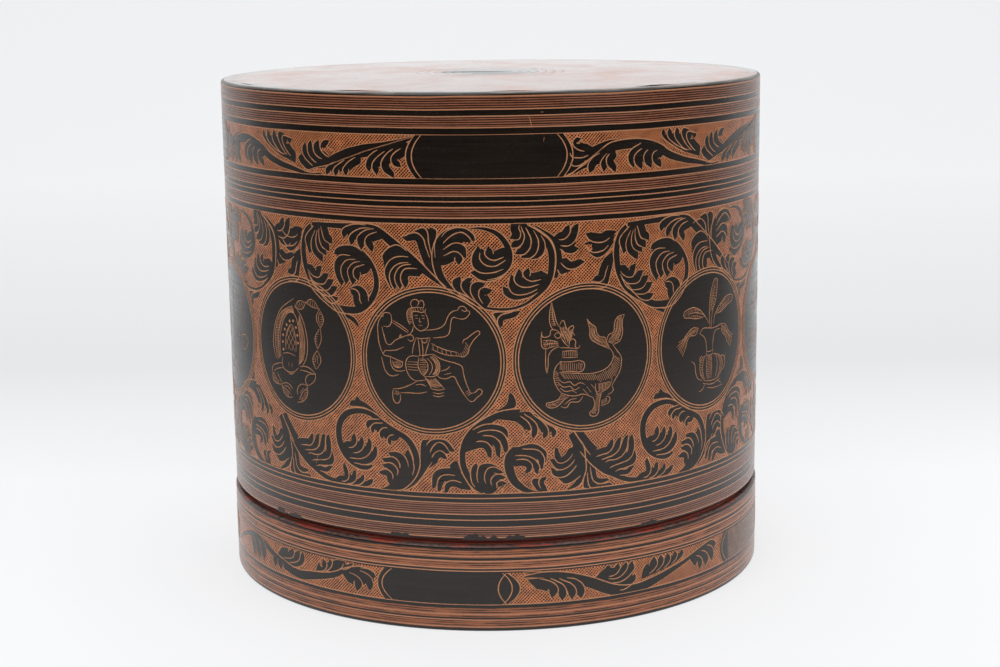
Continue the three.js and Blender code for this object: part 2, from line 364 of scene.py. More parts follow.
UPPER_SECOND_SCROLL = {
    "stems": (
        (((-17, 146.2), (-21, 145.2), (-24.3, 142.5), (-26, 139), (-26.5, 135.5), (-26, 131.5),
          (-24.6, 127.8), (-22, 124.8), (-19.5, 123)), (0.5, 2, 2.6, 2.8, 2.8, 2.8, 2.6, 2, 1.2)),
        (((-13, 145.6), (-9.5, 146), (-6, 145.4), (-3, 144), (-0.6, 141.6), (1, 138.6), (1.6, 135.5),
          (1, 132.4), (-0.8, 130), (-3.6, 128.3), (-7.5, 127.5)),
         (-0.4, -1, -1.4, -1.7, -2, -2.2, -2.4, -2.4, -2.2, -1.8, -0.8)),
        (((-22, 124.8), (-18, 122.2), (-13.5, 119.6), (-10, 117.8), (-6, 116.8), (0, 116.6), (5, 117.8),
          (8.5, 119.8), (12, 122.5), (13.8, 124.4), (15.4, 127.5), (16.1, 131), (16.3, 134.4),
          (15.8, 137.8), (14.2, 140.9), (11.5, 143.2), (8.5, 145.3), (6.5, 146.3)),
         (0.8, 0.9, 1, 1, 1.1, 1.6, 2.2, 2.4, 2.3, 1.8, 0.5)),
        (((15.6, 127.6), (16.3, 131), (16.5, 134.5), (16, 138), (14.6, 141), (12, 143.4), (9, 145.6)),
         (-1.2, -2, -2.2, -2, -1.6, -1, -0.5)),
    ),
    "leaves": (
        (2.2, ((-24, 125.8),), (
            ((-28.3, 138), (-29.6, 142), (-32.6, 143.8), (-37.2, 142)),
            ((-27.3, 139), (-27.9, 144), (-29.6, 145.6), (-32.6, 144.4)),
            ((-25.6, 138), (-24.7, 142.5), (-24.8, 145), (-27.2, 145.8)),
        )),
        (-2.6, ((-25, 136),), (
            ((-23, 142.5), (-19.5, 145.3), (-14.8, 145.5), (-11.6, 143), (-11.6, 140.8)),
            ((-22.5, 140.2), (-19, 143.2), (-15.8, 144), (-13.2, 142), (-12.2, 139.6)),
            ((-22.5, 138), (-19.3, 140.1), (-16.6, 140.2), (-14.5, 138.5), (-14.6, 135)),
            ((-22.5, 135.8), (-19.4, 137.3), (-17.2, 137), (-15.6, 134.8), (-17.2, 132.6)),
        )),
        (-2.6, ((1.2, 135.5),), (
            ((-0.5, 130.2), (-4, 127.6), (-8.5, 127), (-11.5, 128.4), (-13.2, 130.2)),
            ((-1, 131.8), (-5, 130.1), (-9.5, 130), (-12.4, 132.2), (-12.6, 136), (-10.4, 139.6)),
            ((-1, 134.3), (-4.5, 132.3), (-7.8, 132.6), (-9.9, 135), (-9.4, 138.6)),
            ((-1.6, 135.4), (-4.6, 134.3), (-7, 135), (-8.2, 137), (-6.8, 139.4)),
        )),
        (-2.4, ((-8, 117.6),), (
            ((-15.5, 121.4), (-19.2, 124.8), (-19.3, 127.6), (-16.6, 128.9)),
            ((-13, 120.9), (-16, 124), (-16.3, 126.6), (-14, 128.4), (-12.4, 128)),
            ((-11, 119.6), (-13.1, 122.8), (-12.9, 125.9), (-10.6, 127), (-8, 126.2)),
            ((-9, 119.2), (-10.4, 121.8), (-10, 124.2), (-8, 125), (-5.6, 123.9)),
        )),
        (-2.4, ((14.5, 128),), (
            ((10, 122.6), (5, 120.5), (1, 120.4), (-2, 122.6), (-2, 125.2)),
            ((9.8, 123.8), (5, 122.1), (1.4, 122.6), (-0.2, 125.6), (0.9, 129.4)),
            ((10.6, 125.6), (6, 124.6), (3, 125.6), (1.8, 128), (3.6, 131.3)),
            ((11.2, 127.2), (7.8, 126.7), (5.5, 128), (4.9, 130), (7, 131.5)),
        )),
        (-2.4, ((6, 147),), (
            ((3.6, 146), (4.3, 143.4), (3.4, 141.3), (0.4, 141.6)),
            ((4.4, 145.8), (5.5, 142.8), (4.8, 139.9), (2.8, 138.5), (0.6, 138.7)),
            ((6, 145.4), (7.8, 141.5), (7.3, 138), (5, 136), (2.2, 136.4)),
            ((8.6, 144.4), (10.4, 140.6), (9.8, 136.8), (7.3, 134.7), (4.2, 135)),
            ((11.2, 142.6), (12.8, 138.9), (12, 135.8), (9.6, 134.3), (7.2, 134.5)),
        )),
        (2.2, (), (
            ((15.5, 141.5), (18.2, 140.7), (20.2, 141.3), (21.7, 143.3), (21.5, 145.9)),
            ((16.5, 139.5), (18, 138.8), (21, 138.5), (23.6, 140.4), (24.8, 144), (24.6, 146.2)),
            ((17, 137.8), (18.3, 137.4), (20, 136), (23, 135.8), (24.9, 137.4)),
        )),
        (2.2, (), (
            ((17.5, 134), (18.6, 132.2), (21, 130.4), (24, 130.6), (27, 132.6)),
            ((16.8, 131), (17.4, 129.6), (18.6, 128.4), (20.9, 129.8)),
        )),
        (1.7, (), (
            ((4, 116.6), (0, 115.9), (-3, 115), (-4.2, 112.8), (-3.2, 110.4)),
            ((4, 116.4), (0, 116.2), (-5.4, 116), (-5, 114), (-4.6, 113)),
        )),
    ),
    "drops": (),
}
LOWER_FIRST_SCROLL = {
    "stems": (
        (((-34.5, 65.2), (-33, 63.3), (-30.8, 60.6), (-28, 58), (-25.3, 55.9), (-22, 54.2), (-18.5, 52.4),
          (-15, 51.3), (-11, 50.9), (-6, 50.7), (-1, 50.6), (3, 51.2)),
         (0.5, 3, 4, 4, 3.4, 2.6, 2, 1.8, 1.6, 1.6, 1.4, 0.6)),
        (((13.5, 50.4), (16, 51.6), (18.5, 53.4), (20.6, 55.8), (22, 58.5), (22.7, 61.5), (22.5, 64.5),
          (21.4, 67.5), (19.8, 70), (17.8, 71.8), (15, 73.2), (12, 74.8), (9, 76.6), (6, 78.6), (3, 79.8),
          (0, 80.1), (-3, 79.8), (-6, 78.8), (-8.5, 76.8), (-10.3, 74), (-11, 70.5), (-10.7, 67),
          (-9.7, 64), (-8, 61.5), (-5.5, 59.3), (-2.5, 57.8), (0.5, 57.2), (3, 57.7), (4.6, 59)),
         (1.5, 3.2, 2.6, 2.4, 2.4, 2.3, 2, 2, 2, 2.2, 2.6, 2.7, 2.7, 3, 2.8, 2, 1)),
        (((17, 51.4), (20, 53), (22.4, 55.4), (24.3, 58), (25.8, 60.4), (27, 62.2)),
         (1, 2.4, 2.6, 2.6, 2.4, 1)),
    ),
    "leaves": (
        (2.5, ((-31.5, 62.3),), (
            ((-29, 62.6), (-26, 63), (-23.3, 63.3), (-21.8, 64.8), (-21.4, 66.8), (-22, 68.2)),
            ((-27, 61.2), (-23.8, 61.5), (-21.5, 61.9), (-19.5, 63.2), (-18.7, 65.4), (-18.6, 68.4)),
            ((-26, 59.8), (-23.4, 60.4), (-20.5, 60.2), (-18, 61), (-16.4, 62.9), (-15.9, 65.6),
             (-16, 68.8)),
            ((-25, 57.8), (-21, 58.2), (-15.5, 59.2), (-13.6, 61), (-13, 64), (-13.4, 67), (-14.3, 68.8)),
            ((-23, 56.4), (-19, 56.5), (-15.5, 56.9), (-13, 57.6), (-11.9, 59.3), (-12.2, 61.4),
             (-13, 62.4)),
        )),
        (2.1, ((-13, 51.6),), (
            ((-9.5, 51.9), (-7.3, 52.2), (-5.9, 53.4), (-5.6, 55.4), (-6.3, 57.6), (-7.3, 59.2)),
            ((-6.5, 51.4), (-4.2, 51.9), (-2.7, 53.2), (-2.3, 55), (-2.8, 57)),
            ((-3, 51.4), (-1, 51.8), (0.6, 53), (1.1, 54.6), (0.5, 55.8)),
            ((-1, 50.8), (2, 51.2), (4.2, 52.6), (4.6, 54.4)),
        )),
        (1.9, (), (
            ((-22, 55.2), (-18, 54.3), (-15.5, 54.3), (-14, 55.2), (-12.7, 56.9)),
        )),
        (2.3, ((-9.6, 65),), (
            ((-6, 65), (-4, 65.1), (-2.5, 66.2), (-1.8, 67.8), (-2.1, 69.6), (-2.7, 70.6)),
            ((-4.5, 63.3), (-1.8, 63.5), (0.2, 64.8), (1.1, 66.6), (1.2, 68.4), (0.5, 69.7)),
            ((-7, 61.6), (-3.1, 61.2), (0, 61.5), (2.3, 62.7), (3.8, 64.6), (4.4, 66.9), (4, 68.7),
             (3, 69.4)),
            ((-5.5, 60.2), (-1.5, 59.4), (1.2, 59.3), (3.5, 60), (5.2, 61.3), (6.4, 63.2), (6.6, 65.2),
             (6, 66.8)),
        )),
        (2.2, ((16, 72.4),), (
            ((9, 76.4), (5.2, 76.4), (3.4, 76.2), (2.2, 75.1), (2, 73.8), (2.8, 72.6)),
            ((10.5, 75.2), (7.8, 75.2), (6, 75.1), (4.6, 74.3), (3.9, 73), (4.1, 71.8), (4.9, 71.1)),
            ((11.3, 73.5), (9.5, 73.7), (8.2, 73), (7.4, 71.8), (7.5, 70.3), (8.4, 69.3)),
            ((13.5, 71.4), (12, 71.2), (10.9, 70.4), (10.4, 69.2), (10.7, 68), (11.6, 67.4)),
        )),
        (2.3, ((17.5, 52.5),), (
            ((20.2, 58.5), (20.1, 62), (19.5, 64.6), (18.3, 66.5)),
            ((18.2, 59), (18, 61.8), (16.8, 64), (14.8, 65.2), (12.5, 65.3), (10.6, 64.7)),
            ((15.2, 58.5), (15.1, 60.5), (14.2, 62.2), (12.5, 63.3), (10.5, 63.1), (8, 62.4)),
            ((14, 56), (14.3, 58), (13.7, 59.5), (12.3, 60.7), (10.5, 61), (8.1, 60.2)),
            ((12.6, 54.6), (12.3, 56.5), (11.4, 57.8), (10, 58.5), (8.5, 58.3), (6.7, 57.3)),
        )),
        (-2.4, (), (
            ((22.9, 60), (22.8, 66), (23.1, 69), (24, 70.4), (25.4, 70.2)),
            ((24, 60), (24.3, 66.3), (25.8, 69.3), (27.4, 70.5), (29.7, 70.8), (32.3, 70.4), (34, 68.7),
             (35.4, 66.4)),
            ((25, 60.5), (26, 64.5), (26.7, 66.5), (27.7, 68.2), (29.3, 69.5), (31, 69.2), (32.5, 67.7),
             (33.5, 65.6)),
            ((25.6, 59.8), (26.7, 62.8), (27.3, 64.5), (28.3, 65.8), (29.7, 66.5), (31, 66.2), (32.2, 65),
             (32.4, 63.4)),
        )),
    ),
    "drops": (
        ((-4.4, 80.6), (-3.6, 82.5), (-2.4, 82.6), (-1.2, 84.2), (0.2, 82.9), (2.5, 81.9), (4.8, 80.3),
         (6.8, 78.6), (2.5, 80.3), (-1, 80.6)),
        ((7, 50.5), (10.5, 52.6), (12.2, 55), (15, 57), (19, 57), (20, 54.8), (17, 51.8), (13, 50.5)),
    ),
}
LOWER_SECOND_SCROLL = {
    "stems": (
        (((-10.5, 50.3), (-13.5, 52.9), (-15.8, 56), (-17.5, 59.5), (-18.2, 63), (-18, 67), (-17, 70.5),
          (-15.3, 73.4), (-12.8, 76), (-9.8, 78.1), (-6.4, 79.9), (-3, 81.1), (0.5, 81.6), (3.5, 81.6)),
         (-3, -2.6, -2.4, -2.3, -2.2, -2.3, -2.6, -3, -2.8, -2.4, -2.4, -1)),
        (((22.5, 72.4), (24.5, 69.6), (26.1, 67.2), (26.7, 65), (26.9, 62.5), (27.2, 60), (27.1, 57.5),
          (26.3, 55.3), (25.3, 53.2), (23.2, 51.7), (20.5, 50.6)),
         (-2.2, -3, -4, -4, -4, -4, -3.6, -3, -2.4, -1.8, -1)),
        (((23, 72.3), (24.5, 69.6), (26.1, 67.2), (27.5, 65), (28.8, 63.3)), (2.6, 2.8, 3, 3.4, 3.6)),
        (((20.5, 50.5), (12, 50.4), (8, 50.3), (4.9, 50.9), (2.6, 52.2), (0.1, 54.3), (-1.6, 57.3),
          (-2.4, 60.4), (-2.4, 63.5), (-1.4, 66), (0.2, 67.6)),
         (-0.5, -0.8, -1.5, -2.2, -2.6, -3, -3.3, -3.4, -3.2, -2.6, -1.5)),
    ),
    "leaves": (
        (2.2, (), (
            ((-14, 52.5), (-16.5, 54.4), (-18.5, 55.4), (-20.3, 55.8), (-22, 55.5), (-23.2, 54.6),
             (-23.7, 53.2), (-23.6, 51)),
            ((-16, 56.5), (-18.5, 57.4), (-21, 57.8), (-23.3, 57.8), (-24.9, 57.1), (-25.9, 55.7),
             (-26.3, 54), (-26, 51.4)),
            ((-17.5, 59.2), (-20.3, 60.2), (-22.7, 60.4), (-24.8, 60.1), (-26.7, 59.2), (-27.9, 57.5),
             (-28.2, 55.3), (-28, 52.4)),
        )),
        (-2.4, ((-17, 66),), (
            ((-14.8, 72.5), (-11.5, 75.3), (-8, 76.4), (-4.5, 76.2), (-1.9, 75.2), (-0.8, 73.4),
             (-0.9, 71.4)),
            ((-12.8, 71.9), (-10.5, 73.7), (-6.6, 74.2), (-3.5, 73.5), (-1.6, 71.5), (-0.7, 68.5),
             (-1.2, 65.4)),
            ((-10.5, 71.7), (-8.9, 72.2), (-6.2, 71.9), (-4.3, 70.4), (-3.3, 68.1), (-3.8, 63.9)),
            ((-12.8, 69.6), (-10.5, 70.2), (-8.5, 69.8), (-7, 68.3), (-6.4, 66.5), (-6.8, 63.9)),
        )),
        (-2.2, ((-8, 50.5),), (
            ((-12.8, 53.5), (-14.1, 56.5), (-14.2, 59.5), (-13.4, 61.5), (-12, 62.3)),
            ((-11, 53.7), (-11.9, 56.5), (-11.9, 58.8), (-11.2, 61.2), (-9.3, 62.2), (-7, 62.2),
             (-4.8, 61)),
            ((-8.3, 53.5), (-9.3, 56.2), (-9.1, 58.5), (-8.2, 60.2), (-6.6, 60.8), (-5.1, 60.6),
             (-2.6, 58.8)),
            ((-6.8, 53.5), (-7.2, 55.8), (-6.6, 57.1), (-5.5, 58), (-3.5, 58.2), (-1.8, 57)),
            ((-5.1, 53.1), (-5.1, 54.8), (-4.1, 55.7), (-2.8, 55.8), (-1.5, 54.8)),
        )),
        (-2.4, ((-1, 62),), (
            ((0.1, 67.3), (2.6, 68.1), (4.9, 68.7), (7.2, 69), (9.5, 68.5), (11.5, 67.1), (12.9, 65.2),
             (12.4, 61.6)),
            ((2.2, 66.7), (5.7, 67), (8.4, 66.8), (10.3, 66), (11.5, 64.4), (12, 62.4), (11.1, 59.2)),
            ((0.3, 64.4), (3, 64.8), (5.7, 64.5), (8, 63.5), (9.5, 61.9), (10.2, 60), (9.4, 57.6)),
            ((0.7, 62.9), (3, 63.4), (5.3, 63.2), (6.8, 62.3), (7.6, 60.8), (7, 58.8), (5, 58)),
        )),
        (-1.9, (), (
            ((11, 50.8), (8.8, 52.2), (7.4, 54.2), (7.3, 55.6), (8.2, 56.4), (9.6, 56)),
            ((13, 50.9), (10.6, 52.4), (9.8, 54.2), (10, 55.6), (11, 56.6), (12.7, 56.6)),
        )),
        (-2.6, ((-8, 78.5),), (
            ((1.5, 79.6), (4.5, 78.3), (6.1, 76.9), (7, 75.4), (7.3, 73.8), (6.5, 72), (4.6, 71.6)),
            ((3, 80.2), (5.5, 79.2), (7.6, 77.7), (9.2, 75.8), (9.7, 73.8), (9.2, 71.8), (7.8, 70.7)),
            ((5, 80.6), (8.5, 79), (11.1, 76.9), (12.6, 75.2), (13.4, 73.4), (13.2, 71.5), (11.6, 70.4)),
            ((7, 79.8), (10.5, 77.8), (13, 75.8), (14.9, 74.7), (16.2, 73.4), (16.3, 71.8), (15, 70.6)),
        )),
        (-2.3, ((25, 64),), (
            ((22.8, 65), (21.6, 63.3), (20, 61.9), (18.2, 61.2), (16.6, 61.6), (15.6, 63.2), (15.3, 65.2),
             (15.9, 67.2)),
            ((23.6, 63.1), (22.2, 61.2), (20.3, 59.6), (18, 58.8), (15.9, 59.4), (14.5, 61.3),
             (13.8, 62.8)),
            ((24, 60.8), (23, 59.2), (21.1, 57.3), (19.2, 56.2), (17, 56), (15.3, 56.6), (14.3, 58),
             (14.2, 59.8)),
            ((25.3, 56.9), (23.6, 55), (21.5, 53.8), (19.5, 53.4), (17.6, 54.1), (16.4, 55.5)),
        )),
        (1.9, ((28, 62),), (
            ((28.5, 60), (29.2, 55.6), (29.9, 53.7), (31.5, 52.6), (33.6, 52.3), (36.2, 53.2)),
            ((27.6, 58), (27.9, 53.3), (28.7, 51.5), (30.5, 50.4), (33.5, 50.2), (37.4, 51.5)),
            ((26.8, 57), (26, 53.6), (26, 51.8), (27, 50.8), (28.4, 51)),
        )),
    ),
    "drops": (
        ((-5, 81), (-2.5, 82.4), (-1.2, 83.6), (-0.7, 85.2), (-0.5, 86.8), (0.3, 87.4), (1.4, 86),
         (2, 84.2), (1.7, 82.4), (0, 81.8), (-2.5, 81.4)),
        ((-17.6, 59), (-20.5, 60), (-21.6, 61), (-20.8, 62.3), (-19.3, 63), (-18.6, 62.2), (-18.1, 60.5)),
        ((27, 64), (29, 63.4), (29.8, 60.8), (30.2, 57.8), (29.4, 55.4), (27.6, 54.6), (27, 58)),
    ),
}
COVER_NEAR_SCROLL = {
    "stems": (
        (((28.8, 163.4), (31.7, 165.9), (34.5, 167.8), (36.9, 169.5), (39.8, 171.6), (42.6, 173.3),
          (46, 174), (49.3, 174.3), (53.1, 174.3), (56.9, 173.9), (60.7, 173), (64.5, 171.4), (67.4, 169.5),
          (70.3, 168.3), (73.1, 167.3), (77, 166.2), (81, 165.4), (85, 164.4), (90, 163.2), (95, 163.4)),
         (-0.4, -2, -2.6, -3.2, -3.4, -3.4, -3, -3, -2.8, -2.4, -2, -1.4, -0.5)),
        (((30.5, 165), (34.5, 167.8), (36.9, 169.5), (39.8, 171.6), (42.6, 173.3), (46, 174.1)),
         (1, 3, 3, 2, 1, 0.2)),
    ),
    "leaves": (
        (-2.7, ((38, 171.2),), (
            ((34.3, 170.8), (32.2, 171), (30.3, 171.8), (29, 173.2), (29.1, 174.8), (30.5, 175.9),
             (32, 175.2)),
            ((33.4, 169), (31.2, 168.7), (28.7, 169.1), (27.8, 170.8)),
            ((32.5, 166.7), (30.4, 165.9), (28.9, 166.1), (27.8, 167.4)),
            ((34, 167), (31, 165.2), (28.5, 163.6), (26.5, 162.9)),
        )),
        (2.9, ((44, 172),), (
            ((37.3, 169.3), (35.1, 167.4), (34.3, 165.5), (34.9, 163.2)),
            ((40.7, 169), (39.4, 167.3), (39, 165.7), (40.2, 163.4)),
            ((42.5, 169.6), (41.4, 168.3), (41.3, 166.8), (42.1, 165), (44.9, 163)),
        )),
        (3.1, ((64, 171.6),), (
            ((57, 172.9), (53.8, 172), (51.3, 170.7), (49.9, 169), (49.7, 167), (50.6, 165.2),
             (52.2, 164.2)),
            ((56.5, 170.9), (53.8, 169.7), (52.4, 168.3), (52.2, 166.5), (53.2, 164.7), (55.5, 163.3)),
            ((58.8, 170.3), (56.9, 169.2), (56.2, 167.6), (56.5, 165.8), (57.5, 164.5), (59.5, 163.5)),
            ((62.6, 169.9), (60.5, 169), (59.8, 167.3), (60.3, 165.6), (61.7, 164.3), (63.8, 163.4)),
        )),
        (-2.9, ((83, 166),), (
            ((76.5, 167.8), (73, 168.9), (69.5, 170.7), (66.5, 172.4), (64.4, 174.2), (63.8, 175.8),
             (65, 177)),
            ((77.5, 168.2), (73.5, 169.7), (70.4, 171.2), (67.5, 173.2), (66.5, 175.2), (67.4, 177.2)),
            ((78.5, 168.4), (75, 169.2), (72.4, 171.2), (70.5, 173.2), (69.9, 175.2), (71, 177.3)),
            ((79.5, 168.2), (78, 168.9), (75.8, 170.8), (74, 173.2), (73.3, 175.2), (74.5, 176.8),
             (77.5, 175.7)),
            ((81.5, 167.6), (79.6, 168.9), (77.2, 171.2), (75.9, 173.6), (76.6, 175.2), (79, 174.9),
             (81.5, 174.1)),
        )),
    ),
    "drops": (),
}
COVER_FAR_SCROLL = {
    "stems": (
        (((-70.5, 163.3), (-64.5, 165), (-59.5, 166), (-54.5, 167.8), (-49.5, 169.5), (-44.5, 171.3),
          (-39.5, 172.8), (-34.5, 174.3), (-30.5, 175.5), (-26.5, 176.5)),
         (0.4, 2, 2.8, 3.2, 2.4, 1.2, 0.5, 0.2)),
        (((-64.5, 165), (-59.5, 166), (-54.5, 167.8), (-49.5, 169.5), (-44.5, 171.3), (-39.5, 172.8),
          (-34.5, 174.3), (-30.5, 175.5), (-26.5, 176.5)),
         (-0.3, -0.8, -1, -1.2, -2, -2.4, -2.2, -1.4, -0.5)),
    ),
    "leaves": (
        (-2.9, ((-57, 167.4),), (
            ((-67.5, 163.9), (-71, 165), (-73, 166.8), (-73.5, 168.2), (-72, 169.2)),
            ((-65.3, 165.3), (-68, 166.5), (-70, 168), (-71.3, 170), (-71.1, 172.3), (-69.7, 173.6)),
            ((-63.8, 166.5), (-66, 167.3), (-68, 169), (-68.8, 171), (-68.5, 173.3), (-67, 174.5)),
            ((-61.5, 168), (-63.5, 168.5), (-65.3, 169.8), (-66, 171.5), (-65.5, 173.5), (-63.4, 174.8)),
            ((-58, 168.4), (-60, 169.2), (-61.9, 170.5), (-62.8, 172), (-62.4, 173.6), (-60.8, 174.9),
             (-58.6, 174.7)),
        )),
        (2.8, (), (
            ((-54, 168), (-57, 167), (-59.6, 165.8), (-60.9, 164.2), (-60.3, 162.4)),
            ((-50, 169.4), (-52.5, 168), (-55, 166.6), (-56.8, 165.2), (-57.4, 163.8), (-56.2, 162.2)),
            ((-46, 170.6), (-48, 169.2), (-50.5, 167.8), (-52.6, 165.9), (-53.3, 164.3), (-52, 162.6)),
        )),
        (3, ((-34, 174),), (
            ((-38.5, 172.3), (-41, 171), (-42.9, 169.4), (-43.9, 167.4), (-43.9, 165.6), (-42.6, 164.3)),
            ((-36, 172), (-38.5, 170.3), (-40.5, 168.5), (-41.5, 166.8), (-41.4, 165), (-39.8, 163.2)),
            ((-32.5, 173.2), (-35, 171.5), (-37, 169.5), (-38.1, 167.4), (-37.7, 165.2), (-36, 163.6),
             (-33.2, 162.5)),
            ((-30.5, 173), (-32.8, 171.3), (-34.2, 169.6), (-34.2, 167.8), (-32.9, 166.3), (-30.6, 166.2)),
        )),
    ),
    "drops": (),
}
SKIRT_SCROLL = {
    "stems": (
        (((9.5, 20.4), (12.4, 21.1), (15.5, 21.6), (18.7, 21.7), (22.4, 21.4), (27.1, 20.5), (31.3, 19.2),
          (35.5, 17.6), (39.7, 15.6), (43, 14.2), (47, 13.2), (52, 13), (57, 13.8), (62, 14.8), (68, 16.2),
          (74, 17.6), (80, 19.4), (86, 21), (91.7, 21.8)),
         (-0.4, -1.8, -2.6, -3.4, -4, -4.2, -4, -3.8, -2.8, -1.8, -1.4, -0.5)),
    ),
    "leaves": (
        (-3.9, ((11, 19.2),), (
            ((14.5, 19.3), (17.4, 18.7), (20.2, 17.4), (21.7, 15.5), (21.6, 13.4), (19.6, 11.6)),
            ((18, 19.4), (21.3, 17.9), (23.5, 16.5), (24.8, 14.4), (24.9, 12.2), (23.3, 10.4)),
            ((21, 19.1), (23.9, 17.9), (26.5, 16.6), (28.1, 14.7), (28.4, 12.4), (26.8, 10.5)),
            ((25, 18.8), (29.2, 17.4), (31.2, 15.2), (31.6, 12.7), (30.2, 10.5)),
        )),
        (4.1, (), (
            ((37, 17.6), (40.8, 17.4), (42.9, 17.6), (44.5, 18.7), (45.3, 20.5), (44.4, 22)),
            ((35, 16.8), (39.7, 16.8), (42.9, 16.2), (45.5, 16.8), (47.4, 18.4), (48.4, 20.3),
             (47.6, 21.9)),
            ((36, 15.6), (41.3, 15), (44.5, 14.6), (47.6, 15.5), (50, 17.4), (51.3, 19.2), (50.2, 21.9)),
            ((40, 13.4), (45, 11.6), (47.6, 11.8), (50.3, 13.2), (51.8, 14.7), (51.3, 16.8)),
        )),
        (3.9, (), (
            ((54, 14.2), (58.4, 16), (60.8, 18), (61, 20), (59.6, 22)),
            ((57, 14.6), (61.6, 16.4), (63.8, 18.4), (64, 20.3), (62.6, 22)),
            ((60.5, 15.2), (65, 16.9), (67, 18.7), (67.2, 20.5), (65.8, 22)),
            ((64, 16), (68.6, 17.7), (70.3, 19.2), (70.5, 20.8), (69.2, 22)),
            ((67.5, 16.6), (71.8, 18.2), (73.6, 19.6), (73.8, 20.8), (72.6, 21.9)),
        )),
        (-3.7, (), (
            ((77, 17.5), (80.5, 17.4), (83, 16.4), (84.4, 14.6), (84, 12.6), (82.5, 11.6)),
            ((79, 18.6), (83.5, 18.6), (86.3, 17.5), (88, 15.5), (87.8, 13.4), (86.2, 12)),
            ((82, 19.8), (87, 19.9), (90, 18.7), (91.6, 16.5), (91.4, 14.4), (90, 13)),
            ((85, 21), (89.5, 21.4), (92.3, 20.3), (93, 18.5)),
        )),
    ),
    "drops": (
        ((9.6, 21.9), (12.2, 21.3), (16, 21.9)),
    ),
}
SKIRT_LAST_SCROLL = {
    "stems": (
        (((-94, 12), (-86, 16), (-78, 19.5), (-70, 21.4), (-62, 21), (-57.6, 20), (-53.6, 18.3),
          (-49.6, 17), (-45.6, 16), (-41, 14.8), (-36, 14.4), (-31.6, 15), (-27.6, 15.5), (-23.6, 16),
          (-18.6, 17.2), (-14.6, 19), (-9.6, 20.6), (-5.6, 21), (-1.8, 20.3)),
         (-0.5, -1.5, -2.4, -3, -2.8, -2.6, -3, -3.4, -3.6, -3.2, -2.6, -2.2, -1.6, -1, -0.6)),
    ),
    "leaves": (
        (-4, (), (
            ((-66, 20.8), (-61.5, 20), (-59, 17.6), (-58.8, 14.4), (-61, 11.5)),
            ((-69, 20.4), (-65, 19), (-63.2, 16.5), (-63.4, 13.6), (-65.5, 11.4)),
            ((-73, 19.6), (-69.6, 18), (-68, 15.8), (-68.2, 13.2), (-70, 11.2)),
        )),
        (3.2, (), (
            ((-52.6, 17.4), (-53.8, 14.5), (-52.4, 11.6)),
            ((-49.4, 16.6), (-50.2, 13.8), (-48.4, 11.4)),
            ((-46.4, 15.4), (-46.6, 13.4), (-45, 11.8)),
        )),
        (4, (), (
            ((-50, 16.6), (-44.6, 17), (-40.6, 18), (-39.2, 20), (-39.8, 22)),
            ((-46, 15.8), (-41.6, 15.9), (-37.2, 17.5), (-35.7, 20), (-36.2, 22)),
            ((-43, 14.6), (-40.6, 14.4), (-36.2, 15.5), (-33.6, 17.8), (-33.2, 20.3), (-34.4, 21.8)),
        )),
        (3.7, (), (
            ((-27.5, 15.9), (-23.6, 16.6), (-22, 18.4), (-22.2, 20.4), (-24, 21.2)),
            ((-24.5, 16.2), (-21.5, 17.2), (-19.7, 19), (-19.3, 20.8), (-20.5, 21.8)),
            ((-21, 16.8), (-17, 17.9), (-14.6, 19.8), (-14, 22)),
            ((-16.5, 17.8), (-12.5, 19.3), (-10, 21), (-10, 22)),
        )),
        (-3.9, (), (
            ((-15, 17.6), (-11.6, 18), (-8.2, 17), (-6.2, 15), (-6.6, 12.8), (-8.6, 11.4)),
            ((-12, 19), (-7, 19.4), (-3, 18), (-1.6, 15.8), (-1.8, 13.6), (-3.2, 12.2)),
            ((-9, 20.2), (-4, 20.6), (-1, 19.4), (-0.4, 17.6)),
        )),
    ),
    "drops": (),
}

